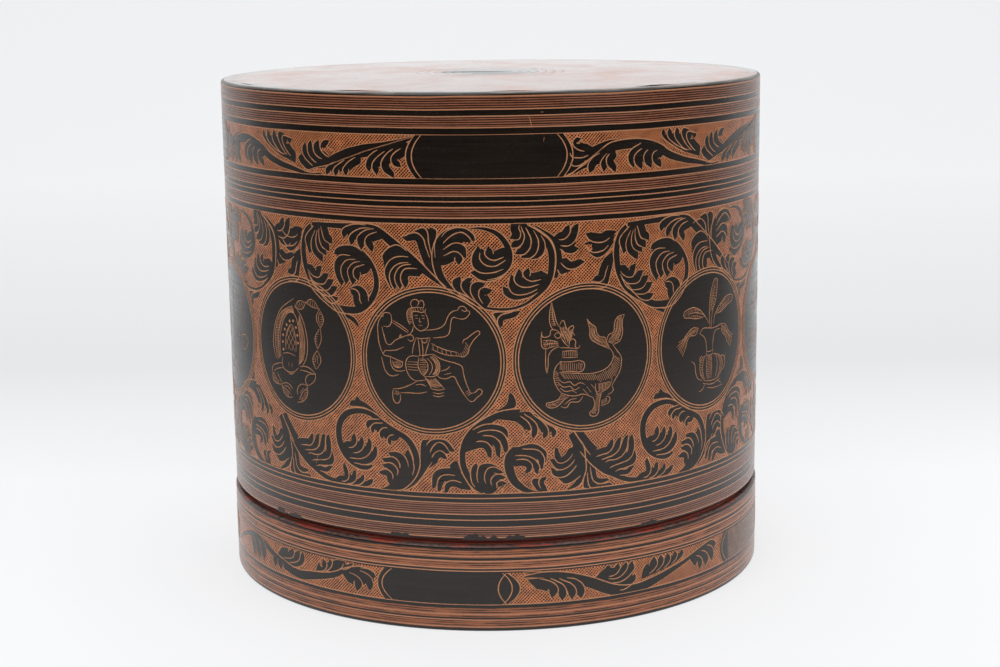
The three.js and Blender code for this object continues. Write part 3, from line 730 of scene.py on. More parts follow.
# Line figures of the roundels, in millimetres from the roundel's centre
FIGURES = {
    "scorpion": (
        ((-13.6, -5.6), (-15.2, -1), (-14.8, 4), (-12.6, 9.6), (-9.6, 13.6), (-6, 16), (-2, 18.2)),
        ((-12.6, -5.6), (-14, 0), (-13.2, 6), (-10.4, 11.4), (-6.6, 14), (-3, 15.4)),
        ((-1.8, 15.8), (1.8, 11.8), (3.8, 6.8), (4.4, 1), (3.4, -3.4), (1, -6.8)),
        ((0.6, 12.4), (2.4, 7), (3, 1), (2, -4)),
        ((-10.6, -4.2), (-11, 1), (-9.8, 6.4), (-7.2, 11), (-4, 13), (-1.8, 12.2), (-0.2, 8.4), (0.6, 3),
         (0.2, -2), (-0.4, -6.2)),
        ((-11.6, -4.6), (-12.1, 1), (-10.9, 6.8), (-8.2, 11.6), (-4.4, 14)),
        ((-7.6, -1.4), (-7.2, 3.6), (-5.4, 7.2), (-4, 8.4), (-2.6, 6.6), (-1.6, 2.6), (-1.8, -1.4)),
        ((-7.3, 2.6), (-4.6, -1.2)), ((-6.6, 4.8), (-2.4, -1.2)), ((-5.4, 6.6), (-1.8, 1.2)),
        ((-4.4, 7.8), (-2, 4)), ((-2.2, 5.4), (-6.4, -1.2)), ((-3.2, 7.2), (-7.4, 0.6)),
        ((-1.8, 2.6), (-4.2, -1.2)), ((-4.6, 7.9), (-7.2, 3.4)), ((-1.5, 15), (0.4, 17.6), (4.2, 17.4)),
        ((-1.5, 15), (2.2, 14.8), (4.2, 17.4)), ((4.2, 17.4), (7, 18.9), (10.8, 15.6)),
        ((4.2, 17.4), (7.2, 16.2), (10.8, 15.6)), ((10.8, 15.6), (9.2, 12.4), (11, 8.7)),
        ((10.8, 15.6), (12.6, 12), (11, 8.7)), ((10.8, 14.4), (10.2, 12), (10.9, 10.2)),
        ((10.4, 8.4), (8.2, 4.6), (9.4, 1)), ((11, 8.4), (11.2, 4.4), (9.4, 1)),
        ((9, 0.4), (6.8, -3), (8.2, -6.6)), ((9.2, 0.4), (10.8, -3), (8.4, -6.6)), ((8.8, -1.2), (8, -4)),
        ((9.4, -1.4), (9, -4.4)), ((-9.6, -4.4), (-9.8, -7.8), (-6.4, -9.4), (-3.2, -9), (-0.8, -7.2)),
        ((-7.6, -9.2), (-5.4, -10.2), (-3, -9.4)), ((-6.2, -6), (-6, -7.6)), ((-4.4, -6), (-4.2, -7.4)),
        ((-9.4, -3), (-6.4, -2.4), (-2.2, -3)), ((-10, -6.6), (-13.4, -7.4), (-16.4, -9), (-16.8, -11.2)),
        ((-9.8, -8.4), (-13, -9.2), (-15.4, -10.4)),
        ((-16.8, -11.2), (-16, -14.2), (-12.6, -15), (-10.6, -14.8)),
        ((-13.6, -10.8), (-12, -12.6), (-10.6, -14.4)),
        ((-10.8, -15), (-9.6, -17.6), (-7, -19), (-4.4, -18.6)),
        ((-10.6, -14.6), (-8, -13.8), (-5.4, -14.6), (-4.2, -15.8)),
        ((-9.6, -15.6), (-7.6, -16.6), (-5, -18)), ((-9, -15), (-7, -15.2), (-5.4, -16.6)),
        ((0, -6.6), (3.2, -6.2), (6, -7), (8, -8.4)), ((0, -7.8), (3.6, -8), (7.8, -8.6)),
        ((8, -8.4), (7.6, -10.6), (4.2, -13.2)), ((8, -8.4), (3.8, -9.4), (2.8, -12), (4, -13.2)),
        ((3.8, -13.2), (0.2, -13.2), (-1.8, -15.6), (-1.6, -17.4)),
        ((3.8, -13.4), (3.4, -17), (0.6, -19.6), (-2, -20.2)), ((2.6, -14.6), (0.4, -16.8), (-0.8, -19.2)),
        ((1.6, -14.4), (-0.4, -16.4)),
    ),
    "archer": (
        ((-6.5, 18.8), (-7, 20.5), (-5.5, 21.8), (-4, 20.8), (-4.6, 19.6)),
        ((-4.2, 20.8), (-2.8, 21.5), (-2.2, 20.2), (-2.4, 18.8)),
        ((-7.6, 12.8), (-8.4, 15.5), (-8, 18), (-6, 18.9), (-2.3, 18.9)),
        ((-6.8, 15), (-6.8, 16.8), (-6, 17.5), (-2, 17.5), (-1.6, 18.6)),
        ((-6.4, 16.8), (-6.2, 13.4), (-5, 11.4), (-3.3, 10.7), (-1.7, 11.6)),
        ((-1.9, 17.4), (-0.9, 14.8), (-1, 12.2), (-1.7, 11.6)), ((-5.7, 16), (-4.5, 16.2)),
        ((-3.1, 16.2), (-2, 16)), ((-5.4, 15.1), (-4.5, 15.2)), ((-3, 15.2), (-2.1, 15.1)),
        ((-3.8, 15.3), (-3.9, 14), (-3.3, 13.8)), ((-4.3, 12.7), (-3, 12.7)),
        ((-6.2, 12.2), (-6.6, 10.6), (-7.6, 9.4)),
        ((-2.8, 11), (1.5, 11.4), (3.8, 12.2), (5.2, 13.6), (6.2, 16), (7.8, 17.8), (9.6, 18.3)),
        ((9.6, 18.3), (10.6, 19.6), (12.4, 19.2), (12.6, 18), (11, 18.4)),
        ((12.6, 18.2), (13.8, 17.8), (13.2, 16.2), (11.6, 15.2), (9.6, 15.4)),
        ((9.6, 15.4), (8, 15.7), (7.2, 13.8), (6.8, 11), (6, 9.4), (3, 8.6), (0.8, 8.4)),
        ((-7.6, 9.4), (-10, 8.4), (-13, 7), (-15.6, 5.2), (-17.2, 8.4), (-18, 11.5)),
        ((-14.2, 13.4), (-11.5, 11.9), (-8.2, 9.8)), ((-13.8, 14), (-10.6, 12.3), (-8, 10.4)),
        ((-14.3, 16), (-15.4, 16.6), (-17.2, 16.4), (-18.4, 15)),
        ((-14.4, 16), (-14.3, 13.6), (-15.4, 11.8), (-17.4, 11.8)),
        ((-17, 16.2), (-19.2, 13.4), (-19.6, 9), (-18.8, 4), (-17.8, 1.8)), ((-20.6, 15.3), (-17.2, 15.3)),
        ((-8.6, 8.6), (-7.2, 9.2), (-6.2, 8), (-7.2, 6.9), (-8.4, 7.6)),
        ((-5.4, 8), (-6.4, 5), (-6.8, 2.4)), ((-0.2, 8.2), (-1.4, 4.6), (-2.2, 1.8)),
        ((-5.4, 8.2), (-3, 8), (-0.2, 8.4)), ((-3.4, 8.2), (-3, 6.8), (-1.8, 6.6), (-1.2, 8.2)),
        ((-4.6, 8), (-4.2, 4.8), (-4, 1.8)), ((-3.2, 6.8), (-2.9, 4), (-3, 0.5)),
        ((0.2, 6.4), (3, 5), (6, 4), (9.4, 3.4)), ((0.2, 4.4), (3.4, 3), (6.4, 2.3), (9.6, 2.1)),
        ((9.6, 2.1), (11.6, 1.9), (13, 3.2), (13.6, 5.4), (15.4, 8.2), (17.2, 10.8), (14.8, 10),
         (12.8, 8.4), (11.6, 7.8), (11.2, 6.6)),
        ((-9.8, 4.8), (-13, 3.4), (-17.8, 2), (-15, 1), (-12.4, 0), (-10.2, -0.6)),
        ((-18.4, 0.8), (-17.8, -2), (-16.6, -4.8), (-14.6, -5.9), (-12, -5.2)),
        ((-15, 0.6), (-14.8, -1.8), (-13.6, -3.6), (-11.6, -4), (-9.6, -3.6)),
        ((-14.2, -0.4), (-13.8, -2), (-12.4, -2.8), (-10.8, -2.2), (-10.4, -0.6)),
        ((-4.6, 1.6), (-7.4, 1.6), (-9, 0.2), (-9.2, -2.6), (-8.4, -5), (-7, -6.6), (-5.6, -7.2)),
        ((-8.5, -0.4), (-5, -0.5)), ((-8.7, -1.3), (-5, -1.4)), ((-8.7, -2.2), (-4.9, -2.4)),
        ((-8.5, -3.2), (-4.7, -3.4)), ((-4.6, 1.8), (-2, 2.2), (0.8, 2.6)),
        ((-4.4, 1.2), (-4.8, -1.6), (-3.8, -4.2), (-2.6, -5.4)),
        ((0.6, 2.2), (2.6, 0), (3, -2.6), (2.2, -4.6), (0.6, -5.4), (-2.6, -5.4)),
        ((-0.4, 1.6), (1.4, -0.4), (1.6, -3), (0.4, -4.8)),
        ((-1.4, 1), (0.2, -1), (0.2, -3.2), (-0.8, -4.8)),
        ((-2.4, 0.8), (-1.2, -1.4), (-1.6, -3.6), (-2.4, -4.8)),
        ((0.6, 1), (2.2, -0.8), (2.3, -2.8), (1.4, -4.6)),
        ((0.8, 2.6), (3, 1.2), (6, 0.2), (9.6, -0.8), (10.8, -1.6), (11.4, -4.4), (12.4, -8),
         (13.8, -11.2)),
        ((13.8, -11.2), (15.6, -10.6), (16.6, -9.6), (17.8, -10.6), (16, -12.6), (14, -14.2),
         (12.8, -13.4)),
        ((12.8, -13.4), (11.2, -11.2), (9.2, -7.6), (7.8, -5.2), (5.4, -6), (3, -5.8), (2.2, -5)),
        ((3.2, -3.4), (5.6, -2.6), (6.6, -1.6)), ((4.6, -4.6), (7, -4)),
        ((-2.4, -5.6), (-1, -7.6), (-0.2, -9.8)), ((1.2, -6), (3, -8), (4.4, -9.6)),
        ((-0.2, -9.8), (2.2, -10.2), (4.6, -9.8)), ((0.4, -12.2), (2.4, -12.6), (4.4, -12)),
        ((0.2, -8.2), (2.6, -8.6)), ((0.4, -11.1), (2.4, -11.5), (4.4, -11)),
        ((-5.4, -7.4), (-8.4, -9), (-11.6, -10.2), (-14.2, -10.5)),
        ((-14.2, -10.5), (-14.5, -12.6), (-13.8, -15.2), (-12.6, -15.6), (-11.6, -14.2), (-11.6, -12.4)),
        ((-11.6, -11.8), (-8.6, -11.6), (-4.4, -11.6), (-1.6, -10.9)),
        ((-5.6, -7.2), (-3.6, -7), (-2, -6.6)), ((-5.8, -8.6), (-3.6, -8.4), (-2, -9)),
    ),
    "makara": (
        ((-12.6, 20.4), (-13.4, 16), (-13, 12), (-12, 10.6)),
        ((-12.6, 20.4), (-11.6, 16), (-10.6, 12.6), (-9.8, 11.4)),
        ((-12.5, 18.5), (-12.2, 15), (-11.4, 12)),
        ((-9.8, 12.2), (-8.6, 13.8), (-7.8, 12), (-7.2, 10.6), (-6, 11.4), (-4.8, 11.6), (-5.2, 9.8),
         (-4.4, 8.2)),
        ((-10, 9.8), (-11.4, 10.6), (-13, 10.4), (-13.2, 9), (-14.6, 8.2), (-15.9, 8.4), (-16.2, 10.2)),
        ((-16.2, 10.2), (-16.4, 6.6), (-15.6, 4.2), (-12.8, 4.6), (-10.2, 5)),
        ((-15.8, 7), (-13, 7), (-10.4, 6.2)), ((-15.8, 5.6), (-13, 5.8), (-10.2, 5.6)),
        ((-14.6, 7), (-14.2, 5.8)), ((-13.2, 7), (-12.8, 5.8)),
        ((-11.8, 8.6), (-10.6, 9.6), (-9.4, 8.6), (-10.6, 7.6), (-11.8, 8.6)),
        ((-9.6, 8.4), (-8.2, 6), (-6.4, 4.2)), ((-9.8, 11.2), (-8.6, 8.6), (-7.6, 6)),
        ((-8.8, 11.2), (-7.8, 8.8), (-6.8, 6.4)), ((-8, 10.2), (-7, 8.6), (-6, 7.2)),
        ((-6.8, 10.4), (-6, 8.8), (-5.2, 8)),
        ((-6.4, 4.6), (-6.2, 6.4), (-4.8, 7), (-4, 5.8), (-4.2, 4.2), (-3.2, 3.6), (-2.4, 4.6)),
        ((-9.8, 4.2), (-7, 4), (-3.6, 3.4)), ((-9, 2.8), (-6, 2.9), (-3.4, 2.6)),
        ((-9, 0.6), (-6, 0.5), (-3.2, 0.4)),
        ((-9.8, -0.8), (-6, -1.1), (-1.2, -1.4), (-1, -3.8), (-2, -4.8), (-6, -4.4), (-10, -4.6)),
        ((-10, 4.6), (-12.4, 3.6), (-13.8, 1.6), (-14, -1.8), (-14.4, -4.6)),
        ((-14.8, 4.4), (-14.9, 0.8), (-14.8, -3.2), (-14.4, -4.6)),
        ((-9.4, -0.6), (-11.4, -2.8), (-12, -6), (-11.2, -9.4), (-9.4, -12)),
        ((-9.8, -4.8), (-5, -5.2), (0, -5.8), (4, -5.6), (7.6, -4.4), (9.6, -2.4), (10.2, 0.4), (9.2, 2.2)),
        ((-9.4, -12), (-7, -13), (-4, -13.4), (-1.4, -13), (2.4, -14.6)),
        ((10, 3.8), (11.8, 1.4), (13.4, -1), (13.4, -3.4), (12.8, -6), (11, -8.8), (9.6, -11)),
        ((9.2, 2.2), (6.4, 3.6), (3.6, 5), (1.4, 7), (1.2, 10), (0.2, 13.8)),
        ((0.2, 13.8), (1.8, 11.8), (3.4, 10.6), (3.8, 8.6), (5.2, 7), (7, 6.6), (7.6, 4.8)),
        ((7.6, 5), (8.4, 7.4), (10.4, 8.4), (10.6, 10.8), (11.8, 13.4), (14.6, 14.2)),
        ((14.6, 14.2), (13.8, 11.6), (13.9, 7.6), (12.6, 4.8), (10.2, 3.8)),
        ((2, 10.6), (2.2, 8), (4, 6), (6.2, 4.8)), ((2.8, 10.4), (3, 8.2), (4.8, 6.4)),
        ((11.8, 12.4), (11.5, 9), (9.6, 6.4)), ((12.8, 12.8), (12.6, 9), (11, 5.6)),
        ((13.4, 12.4), (13.2, 8.6), (12, 5.4)),
        ((-10.6, -6.6), (-8.6, -8.4), (-6.2, -8.2), (-4.6, -9.6), (-2.6, -8.8), (-0.6, -9.6)),
        ((-10.4, -8.4), (-8.4, -10), (-6.2, -9.8), (-4.6, -11.2), (-2.6, -10.4)),
        ((-9.8, -10.2), (-7.8, -11.6), (-5.6, -11.4), (-3.8, -12.4)), ((1.6, -9.6), (3, -11.4)),
        ((0, -10.4), (1.6, -12.6)), ((-1.4, -11.2), (0.6, -13.4)),
        ((-9.2, -12.2), (-10.4, -14.2), (-13.4, -15.2), (-14.8, -15.6), (-13.8, -17), (-11, -16.8),
         (-8.4, -14.6), (-6.6, -13.4)),
        ((-9.6, -16.8), (-7.6, -17.4), (-6, -15.6), (-3, -15.6), (-1.4, -13.8)),
        ((-12.6, -15.6), (-11.4, -16.4)), ((-8.2, -16.2), (-5.8, -14.6), (-3.8, -14.4)),
        ((2.4, -14.6), (3, -17), (2.2, -19), (1, -20.2), (2.6, -21.4), (4.2, -20.6), (4.6, -18), (5, -15.2),
         (5.6, -13.2)),
        ((5.4, -17.8), (8.2, -17), (8.8, -15.2), (7.4, -14.6)), ((9.6, -11), (10.2, -12.6), (8, -14.2)),
        ((3.4, -9.6), (3.4, -12), (4.4, -14)), ((9.8, -8.4), (8.4, -11.4), (5.4, -13)),
        ((4.6, -10), (4.8, -12.4)), ((6, -9.8), (6, -12.2)), ((7.4, -9.6), (7, -11.8)),
    ),
    "pot": (
        ((1.6, 4), (1.2, 9), (1.4, 14), (2.6, 18.6), (5.6, 21.8), (6, 18), (5.2, 13.6), (3.2, 10.2),
         (2.4, 4.2)),
        ((2.2, 10.4), (3.2, 14), (4.6, 19.6)), ((2.2, 13), (3, 17)), ((3.8, 12.4), (4.9, 16.6)),
        ((1, 5.8), (-2, 9.2), (-6, 12.2), (-10, 12.8), (-13.6, 10.6), (-10, 9.2), (-5, 8.4), (-1.8, 8.8)),
        ((-2.6, 9.4), (-7, 10.8), (-11.4, 10.8)), ((-4, 11.2), (-8, 12)), ((-4, 9), (-8.4, 9.8)),
        ((3.8, 5), (5, 8.8), (9.4, 12.4), (13.6, 14.2), (18.2, 12.8), (14, 10.8), (9, 9), (5.4, 8.6)),
        ((6, 9.2), (10.6, 11.2), (15.6, 12.6)), ((8, 11.2), (12.6, 13.2)), ((8.4, 9.6), (13.4, 11.2)),
        ((-5.4, 4.8), (-8, 5.4), (-11.8, 3.4), (-14, 1.2), (-17, -0.6)),
        ((-5.4, 4.8), (-7, 2.6), (-10.4, 2.4), (-12.4, -1.4), (-14, -4.4)),
        ((-6.6, 4.4), (-9.4, 3.8), (-12.4, 1.6), (-14.2, -1.2)), ((-11.6, 2.6), (-16, 1)),
        ((-12.4, 1.6), (-15.6, -1.4)), ((-7.4, 3.6), (-10.2, 3)),
        ((9.4, 4.2), (12.4, 3.6), (15, 0.6), (18.6, -1.4)),
        ((9.4, 4.2), (9.6, 1.6), (12.2, -0.6), (14.2, -3.4), (17, -5.6)),
        ((10.4, 3.4), (12.8, 1.4), (16.4, -2.6)), ((10.2, 2.2), (12.6, 0.4)), ((13.2, 0.6), (17.6, -2.2)),
        ((-4.6, 2.6), (-3, 4.2), (0.6, 4), (3.4, 3.6), (7.8, 4), (9.6, 4.4)),
        ((-4.6, 2.6), (-2.4, 1.4), (-0.8, -1), (-0.4, -6)),
        ((8.4, 2.6), (5, 2.2), (3.8, -0.4), (3.6, -5.6)), ((-0.4, -4.6), (1.8, -4.9), (3.6, -4.6)),
        ((-0.6, -6), (1.8, -6.3), (3.8, -5.9)),
        ((-0.4, -6), (-3.6, -7.2), (-4.4, -10.4), (-3.2, -13.6), (-1.6, -15)),
        ((3.8, -6), (8.2, -7.4), (10.4, -10), (9.4, -13.6), (7.2, -15.6)),
        ((0, -6.4), (-0.4, -10.4), (0.2, -15)), ((2.6, -6.4), (3, -10.4), (2.6, -15)),
        ((-2, -7), (-2.8, -10.6), (-1.8, -14.4)), ((5.6, -6.8), (6.8, -10.6), (5.4, -15.2)),
        ((7.4, -7.6), (8.8, -10.4), (7.4, -14.8)), ((-2, -15.2), (2.6, -16), (8, -15.6)),
        ((-2.4, -16.2), (2.8, -17.4), (8.6, -16.4)), ((-4.6, -19), (-2.6, -18.4), (-1.4, -16.6)),
        ((0, -18.2), (4, -19), (10.6, -18.8)), ((7, -16.8), (9.6, -18)),
        ((-9.2, -7), (-7.4, -8.2), (-6.8, -11.4), (-5.4, -14), (-3, -15)),
        ((-3, -5.8), (-4.2, -6.4), (-4.4, -8)),
        ((8.8, -7.8), (11, -8), (12.2, -9.4), (11.6, -12.4), (10.2, -13.4)), ((12.6, -7.6), (12, -10)),
    ),
}
FIGURE_DOTS = ((-9, -1.4), (-9.2, 1.4), (-8.9, 4), (-7.8, 6.2), (-6.6, 8), (-4.8, 9.6), (-2.8, 9.9),
               (-1.4, 7.6), (-0.8, 4.8), (-0.6, 2))

# Shading of the figures: short strokes between two paths, and how many
FIGURE_RUNGS = {
    "scorpion": (
        (((-12.6, -5.6), (-14, 0), (-13.2, 6), (-10.4, 11.4), (-6.6, 14), (-3, 15.4)),
         ((-10.6, -4.2), (-11, 1), (-9.8, 6.4), (-7.2, 11), (-4, 13), (-1.8, 12.2)), 46),
        (((0.6, 12.4), (2.4, 7), (3, 1), (2, -4)), ((-0.2, 8.4), (0.6, 3), (0.2, -2), (-0.4, -6.2)), 30),
        (((-1.5, 15), (0.4, 17.6), (4.2, 17.4)), ((-1.5, 15), (2.2, 14.8), (4.2, 17.4)), 7),
        (((4.2, 17.4), (7, 18.9), (10.8, 15.6)), ((4.2, 17.4), (7.2, 16.2), (10.8, 15.6)), 8),
        (((10.8, 15.6), (12.6, 12), (11, 8.7)), ((10.8, 15.6), (10.8, 12), (11, 8.7)), 9),
        (((10.6, 8.4), (8.2, 4.6), (9.4, 1)), ((10.8, 8.4), (9.6, 4.6), (9.4, 1)), 9),
        (((9, 0.4), (6.8, -3), (8.2, -6.6)), ((9, 0.4), (8, -3), (8.2, -6.6)), 9),
        (((-16.8, -11.2), (-16, -14.2), (-12.6, -15)), ((-15, -11), (-14, -12.6), (-12.4, -13.4)), 9),
        (((-10.8, -15), (-9.6, -17.6), (-7, -19)), ((-9.6, -15.6), (-8.6, -16.4), (-6.4, -17.4)), 8),
        (((3.8, -13.4), (3.4, -17), (0.6, -19.6)), ((2.6, -14.6), (1.6, -16.6), (-0.4, -18.6)), 10),
    ),
    "archer": (
        (((-7.6, 12.8), (-8.4, 15.5), (-8, 18), (-6, 18.9), (-2.3, 18.9)),
         ((-6.4, 13.6), (-6.8, 15.5), (-6.6, 17), (-5.6, 17.5), (-2, 17.5)), 16),
        (((0.6, 2), (2.5, 0), (2.9, -2.6), (2.1, -4.5)),
         ((-0.4, 1.6), (1.4, -0.4), (1.6, -3), (0.4, -4.8)), 16),
        (((-2.4, 0.8), (-1.2, -1.4), (-1.6, -3.6), (-2.4, -4.8)),
         ((-4.4, 1), (-4.7, -1.6), (-3.7, -4), (-2.7, -5.2)), 12),
        (((-2.4, -5.8), (-1, -6.2), (1.2, -6)), ((-0.2, -9.7), (2, -10), (4.2, -9.7)), 9),
        (((-14.2, -0.4), (-13.8, -2), (-12.6, -2.8)), ((-10.4, -0.6), (-10.8, -2.2), (-12.2, -2.8)), 7),
        (((0.2, 6.4), (3, 5), (6, 4), (9.4, 3.4)), ((0.2, 4.4), (3.4, 3), (6.4, 2.3), (9.6, 2.1)), 6),
        (((9.6, 2.1), (11.6, 1.9), (13, 3.2), (13.6, 5.4)),
         ((9.4, 3.4), (11, 3.6), (11.6, 5.4), (12, 7.6)), 7),
        (((-11.8, 7.6), (-11, 8)), ((-11.2, 9.2), (-10.4, 9.4)), 3),
        (((11.4, -10.8), (12.4, -12.6)), ((13.2, -9.8), (14, -11.4)), 3),
        (((-13.8, -10.8), (-14.2, -12.4)), ((-11.8, -11.6), (-11.8, -12.8)), 3),
    ),
    "makara": (
        (((-12.8, 12), (-13.2, 16), (-12.6, 20.2)), ((-10.8, 12.2), (-11.7, 16), (-12.6, 20.2)), 11),
        (((-9.8, 12.2), (-7.8, 11.8), (-6, 11.2), (-5, 10.4)),
         ((-9.2, 8), (-7.8, 6), (-6.6, 5.2), (-5.6, 7.2)), 11),
        (((-15.8, 7), (-13, 7), (-10.4, 6.2)), ((-15.4, 4.4), (-12.8, 4.7), (-10.2, 5.2)), 9),
        (((-9, 2.8), (-6, 2.9), (-3.4, 2.6)), ((-9, 0.6), (-6, 0.5), (-3.2, 0.4)), 9),
        (((-9.8, -0.8), (-6, -1.1), (-1.2, -1.4)), ((-10, -4.6), (-6, -4.4), (-2, -4.8)), 13),
        (((-9.8, -5), (-5, -5.4), (0, -6), (4, -5.8), (7.6, -4.6), (9.6, -2.6), (10.3, 0.2)),
         ((-8, -7.4), (-3.6, -7.8), (1.4, -8.6), (5.6, -9.2), (9.8, -8.8), (12.4, -6.2), (13.2, -1.6)), 34),
        (((-11.6, -3.6), (-11.9, -6.6), (-10.8, -9.8)), ((-10.2, -5), (-10, -7), (-9.2, -9.2)), 9),
        (((9.2, 2.2), (6.4, 3.6), (3.6, 5), (1.4, 7), (1.2, 10), (0.6, 13)),
         ((7.8, 4.6), (7, 6.4), (5.2, 6.9), (3.8, 8.4), (3.2, 10.4), (1.4, 12.2)), 24),
        (((8, 4.8), (8.6, 7.2), (10.5, 8.2), (10.8, 10.8), (12, 13.2)),
         ((10.2, 4), (12.4, 5), (13.7, 7.6), (13.6, 11.6), (14.2, 13.8)), 20),
        (((-9.4, -12.4), (-10.4, -14.4), (-13.4, -15.4), (-14.4, -15.8)),
         ((-7.2, -13.4), (-8.6, -14.6), (-11, -16.6), (-13.6, -16.8)), 11),
        (((3.4, -9.8), (3.5, -12), (3, -16), (2.4, -18.8), (1.6, -20.2)),
         ((9.4, -9.2), (8.2, -11.4), (5.2, -14), (4.5, -18), (4, -20.6)), 18),
        (((5.6, -17.6), (8, -16.8)), ((5.4, -15.6), (7.4, -14.8)), 5),
    ),
    "pot": (
        (((1.6, 10), (1.5, 14), (2.8, 18.4), (5.4, 21.4)),
         ((2.2, 10.4), (3.2, 14), (4.2, 18), (5.2, 21)), 16),
        (((3.2, 10.4), (5, 13.6), (5.9, 18), (5.6, 21.4)),
         ((2.4, 10.6), (3.6, 14), (4.6, 18), (5.3, 21)), 12),
        (((-2, 9.2), (-6, 12.2), (-10, 12.8), (-13.4, 10.6)),
         ((-2.6, 9.2), (-6.6, 10.6), (-10.4, 10.9), (-13, 10.5)), 14),
        (((-3, 8.8), (-6.6, 8.4), (-10, 9.2), (-13.4, 10.5)),
         ((-3, 9), (-6.8, 10.2), (-10.2, 10.5), (-13, 10.4)), 9),
        (((5.2, 8.8), (9.4, 12.4), (13.6, 14.2), (18, 12.8)),
         ((6, 9.2), (10.2, 11.2), (13.8, 12.5), (17.4, 12.8)), 14),
        (((6, 8.8), (9.6, 9.2), (14, 10.8), (18, 12.6)),
         ((6.2, 9.2), (10.4, 10.8), (14, 12), (17.4, 12.6)), 10),
        (((-5.6, 4.8), (-8, 5.3), (-11.8, 3.4), (-14, 1.2), (-16.8, -0.6)),
         ((-6.4, 3.4), (-9, 2.8), (-11.4, 1), (-12.6, -1.4), (-14, -4.2)), 16),
        (((9.6, 4), (12.4, 3.5), (15, 0.6), (18.4, -1.4)),
         ((9.7, 1.8), (12.2, -0.6), (14.4, -3.2), (17, -5.4)), 15),
        (((-1, -6.4), (-3.6, -7.2), (-4.4, -10.4), (-3.2, -13.6), (-1.6, -15)),
         ((-1, -6.8), (-2.2, -8), (-2.8, -10.6), (-2.2, -13), (-1.2, -14.6)), 14),
        (((4.4, -6.2), (8.2, -7.4), (10.4, -10), (9.4, -13.6), (7.2, -15.6)),
         ((4.6, -6.6), (7.2, -8.2), (8.8, -10.4), (8, -13.2), (6.4, -15)), 17),
        (((0, -6.6), (-0.4, -10.4), (0.2, -15)), ((2.6, -6.6), (3, -10.4), (2.6, -15)), 15),
    ),
}
BEAST = (
    ((-8, 6), (-2, 8), (8, 8), (13, 5), (14, -1)), ((-7, -4), (0, -6), (9, -5), (12, -6)),
    ((-9.6, 1), (-9.2, -1.6), (-7, -4)), ((-7, -4), (-8, -10), (-9, -16), (-6, -16), (-5, -10), (-3, -5.6)),
    ((-2, -5.8), (-2, -11), (-3, -16), (0, -16), (1, -10), (2, -6)),
    ((9, -5), (8, -10), (9, -16), (12, -16), (12, -10), (13, -6)),
    ((13, -6), (14.5, -11), (14.5, -16), (17, -16), (16.5, -9), (14, -1)),
    ((13.6, 4.4), (17, 6), (18.5, 2), (17, -3)), ((-14.2, 9.6), (-13.4, 10.2), (-12.8, 9.5)),
    ((-10.4, 9), (-13, 12), (-16, 10.5), (-18.5, 7.5), (-17.5, 5.5), (-14, 6), (-10.5, 3.5), (-9.6, 1)),
    ((-4, 4), (-2.5, 5.6), (-1, 4)), ((1, 2), (2.5, 3.6), (4, 2)), ((6, 4), (7.5, 5.6), (9, 4)),
    ((-3, -1), (-1.5, 0.6), (0, -1)), ((6, -1), (7.5, 0.6), (9, -1)),
)
PERSON_MIDDLE = (
    ((0, 16.4), (-2.6, 14.6), (-2.8, 11.4), (-1.2, 9.2), (1.2, 9.2), (2.8, 11.4), (2.6, 14.6), (0, 16.4)),
    ((-1.4, 16.2), (-1.6, 18.2), (0, 19.4), (1.6, 18.2), (1.4, 16.2)),
    ((-2.6, 13.6), (0, 14.6), (2.6, 13.6)), ((-0.6, 10.6), (0.6, 10.6)),
    ((-5.4, -15.6), (0, -16.8), (5.4, -15.6)), ((-3, 0), (0, -0.8), (3, 0)),
)
HALF_PERSON = (
    ((0.6, 12.5), (1.4, 12.4)), ((1, 9.2), (1.4, 7.8), (4.2, 6.6), (6.2, 2), (4.6, -2)),
    ((3.6, 4.6), (3, 0), (4.4, -8), (5.4, -15.6)), ((1.2, -1), (1.6, -15.8)), ((2.8, -3), (3.6, -15)),
)
FISH = (
    ((-16, 6), (-8, 12), (2, 13), (10, 9), (14, 6), (19, 11), (17.5, 6), (19, 1.5), (14, 6)),
    ((-16, 6), (-8, 3), (2, 3), (10, 5), (14, 6)), ((-9.5, 3.8), (-8.5, 7), (-9.5, 10.4)),
    ((-13.2, 6.6), (-12.4, 7.4), (-11.6, 6.6), (-12.4, 5.8), (-13.2, 6.6)),
    ((-6, 5), (-4.5, 7.5), (-6, 10.5)), ((-2, 4.5), (-0.5, 8), (-2, 11.5)), ((2, 4.5), (3.5, 8), (2, 11.8)),
    ((6, 5), (7.2, 7.5), (6, 10.2)), ((-4, 12.6), (0, 16.5), (5, 15.5), (6, 11.4)),
)
HALF_SCALES = (
    ((0, 16), (0, -13)), ((0, 15), (6, 14.4), (14, 12)), ((14, 12), (9.6, -2)), ((14, 12), (18.4, -2)),
    ((9.2, -2), (11, -5.4), (14, -6.6), (17, -5.4), (18.8, -2), (9.2, -2)),
    ((0, -13), (4, -13.6), (7, -16), (0, -16.4)),
)
HALF_CRAB = (
    ((0, 9), (6, 8.4), (11, 4), (10.4, -3), (5, -7.6), (0, -8.4)), ((0, 6.6), (5, 6), (8.6, 3)),
    ((2, 9), (2.4, 11.4), (3.6, 11.2)),
    ((8.6, 6.4), (12, 9), (12.6, 13), (9.4, 17.6), (7, 14.4), (9.6, 13.4), (10.6, 10)),
    ((9.4, 17.6), (9, 15.4), (10.2, 14)), ((11, 3), (15, 5), (18.6, 1.4)),
    ((11, 0.4), (15.4, 0.6), (18, -4)), ((10.4, -2.6), (14.4, -4), (15.6, -9)),
    ((8.6, -5), (11.6, -8), (11.4, -13)), ((0, -2), (3.4, -1), (5.4, 1.6)),
)


def mirrored(lines):
    """Lines together with their mirror images."""
    return lines + tuple(tuple((-x, y) for x, y in line) for line in lines)


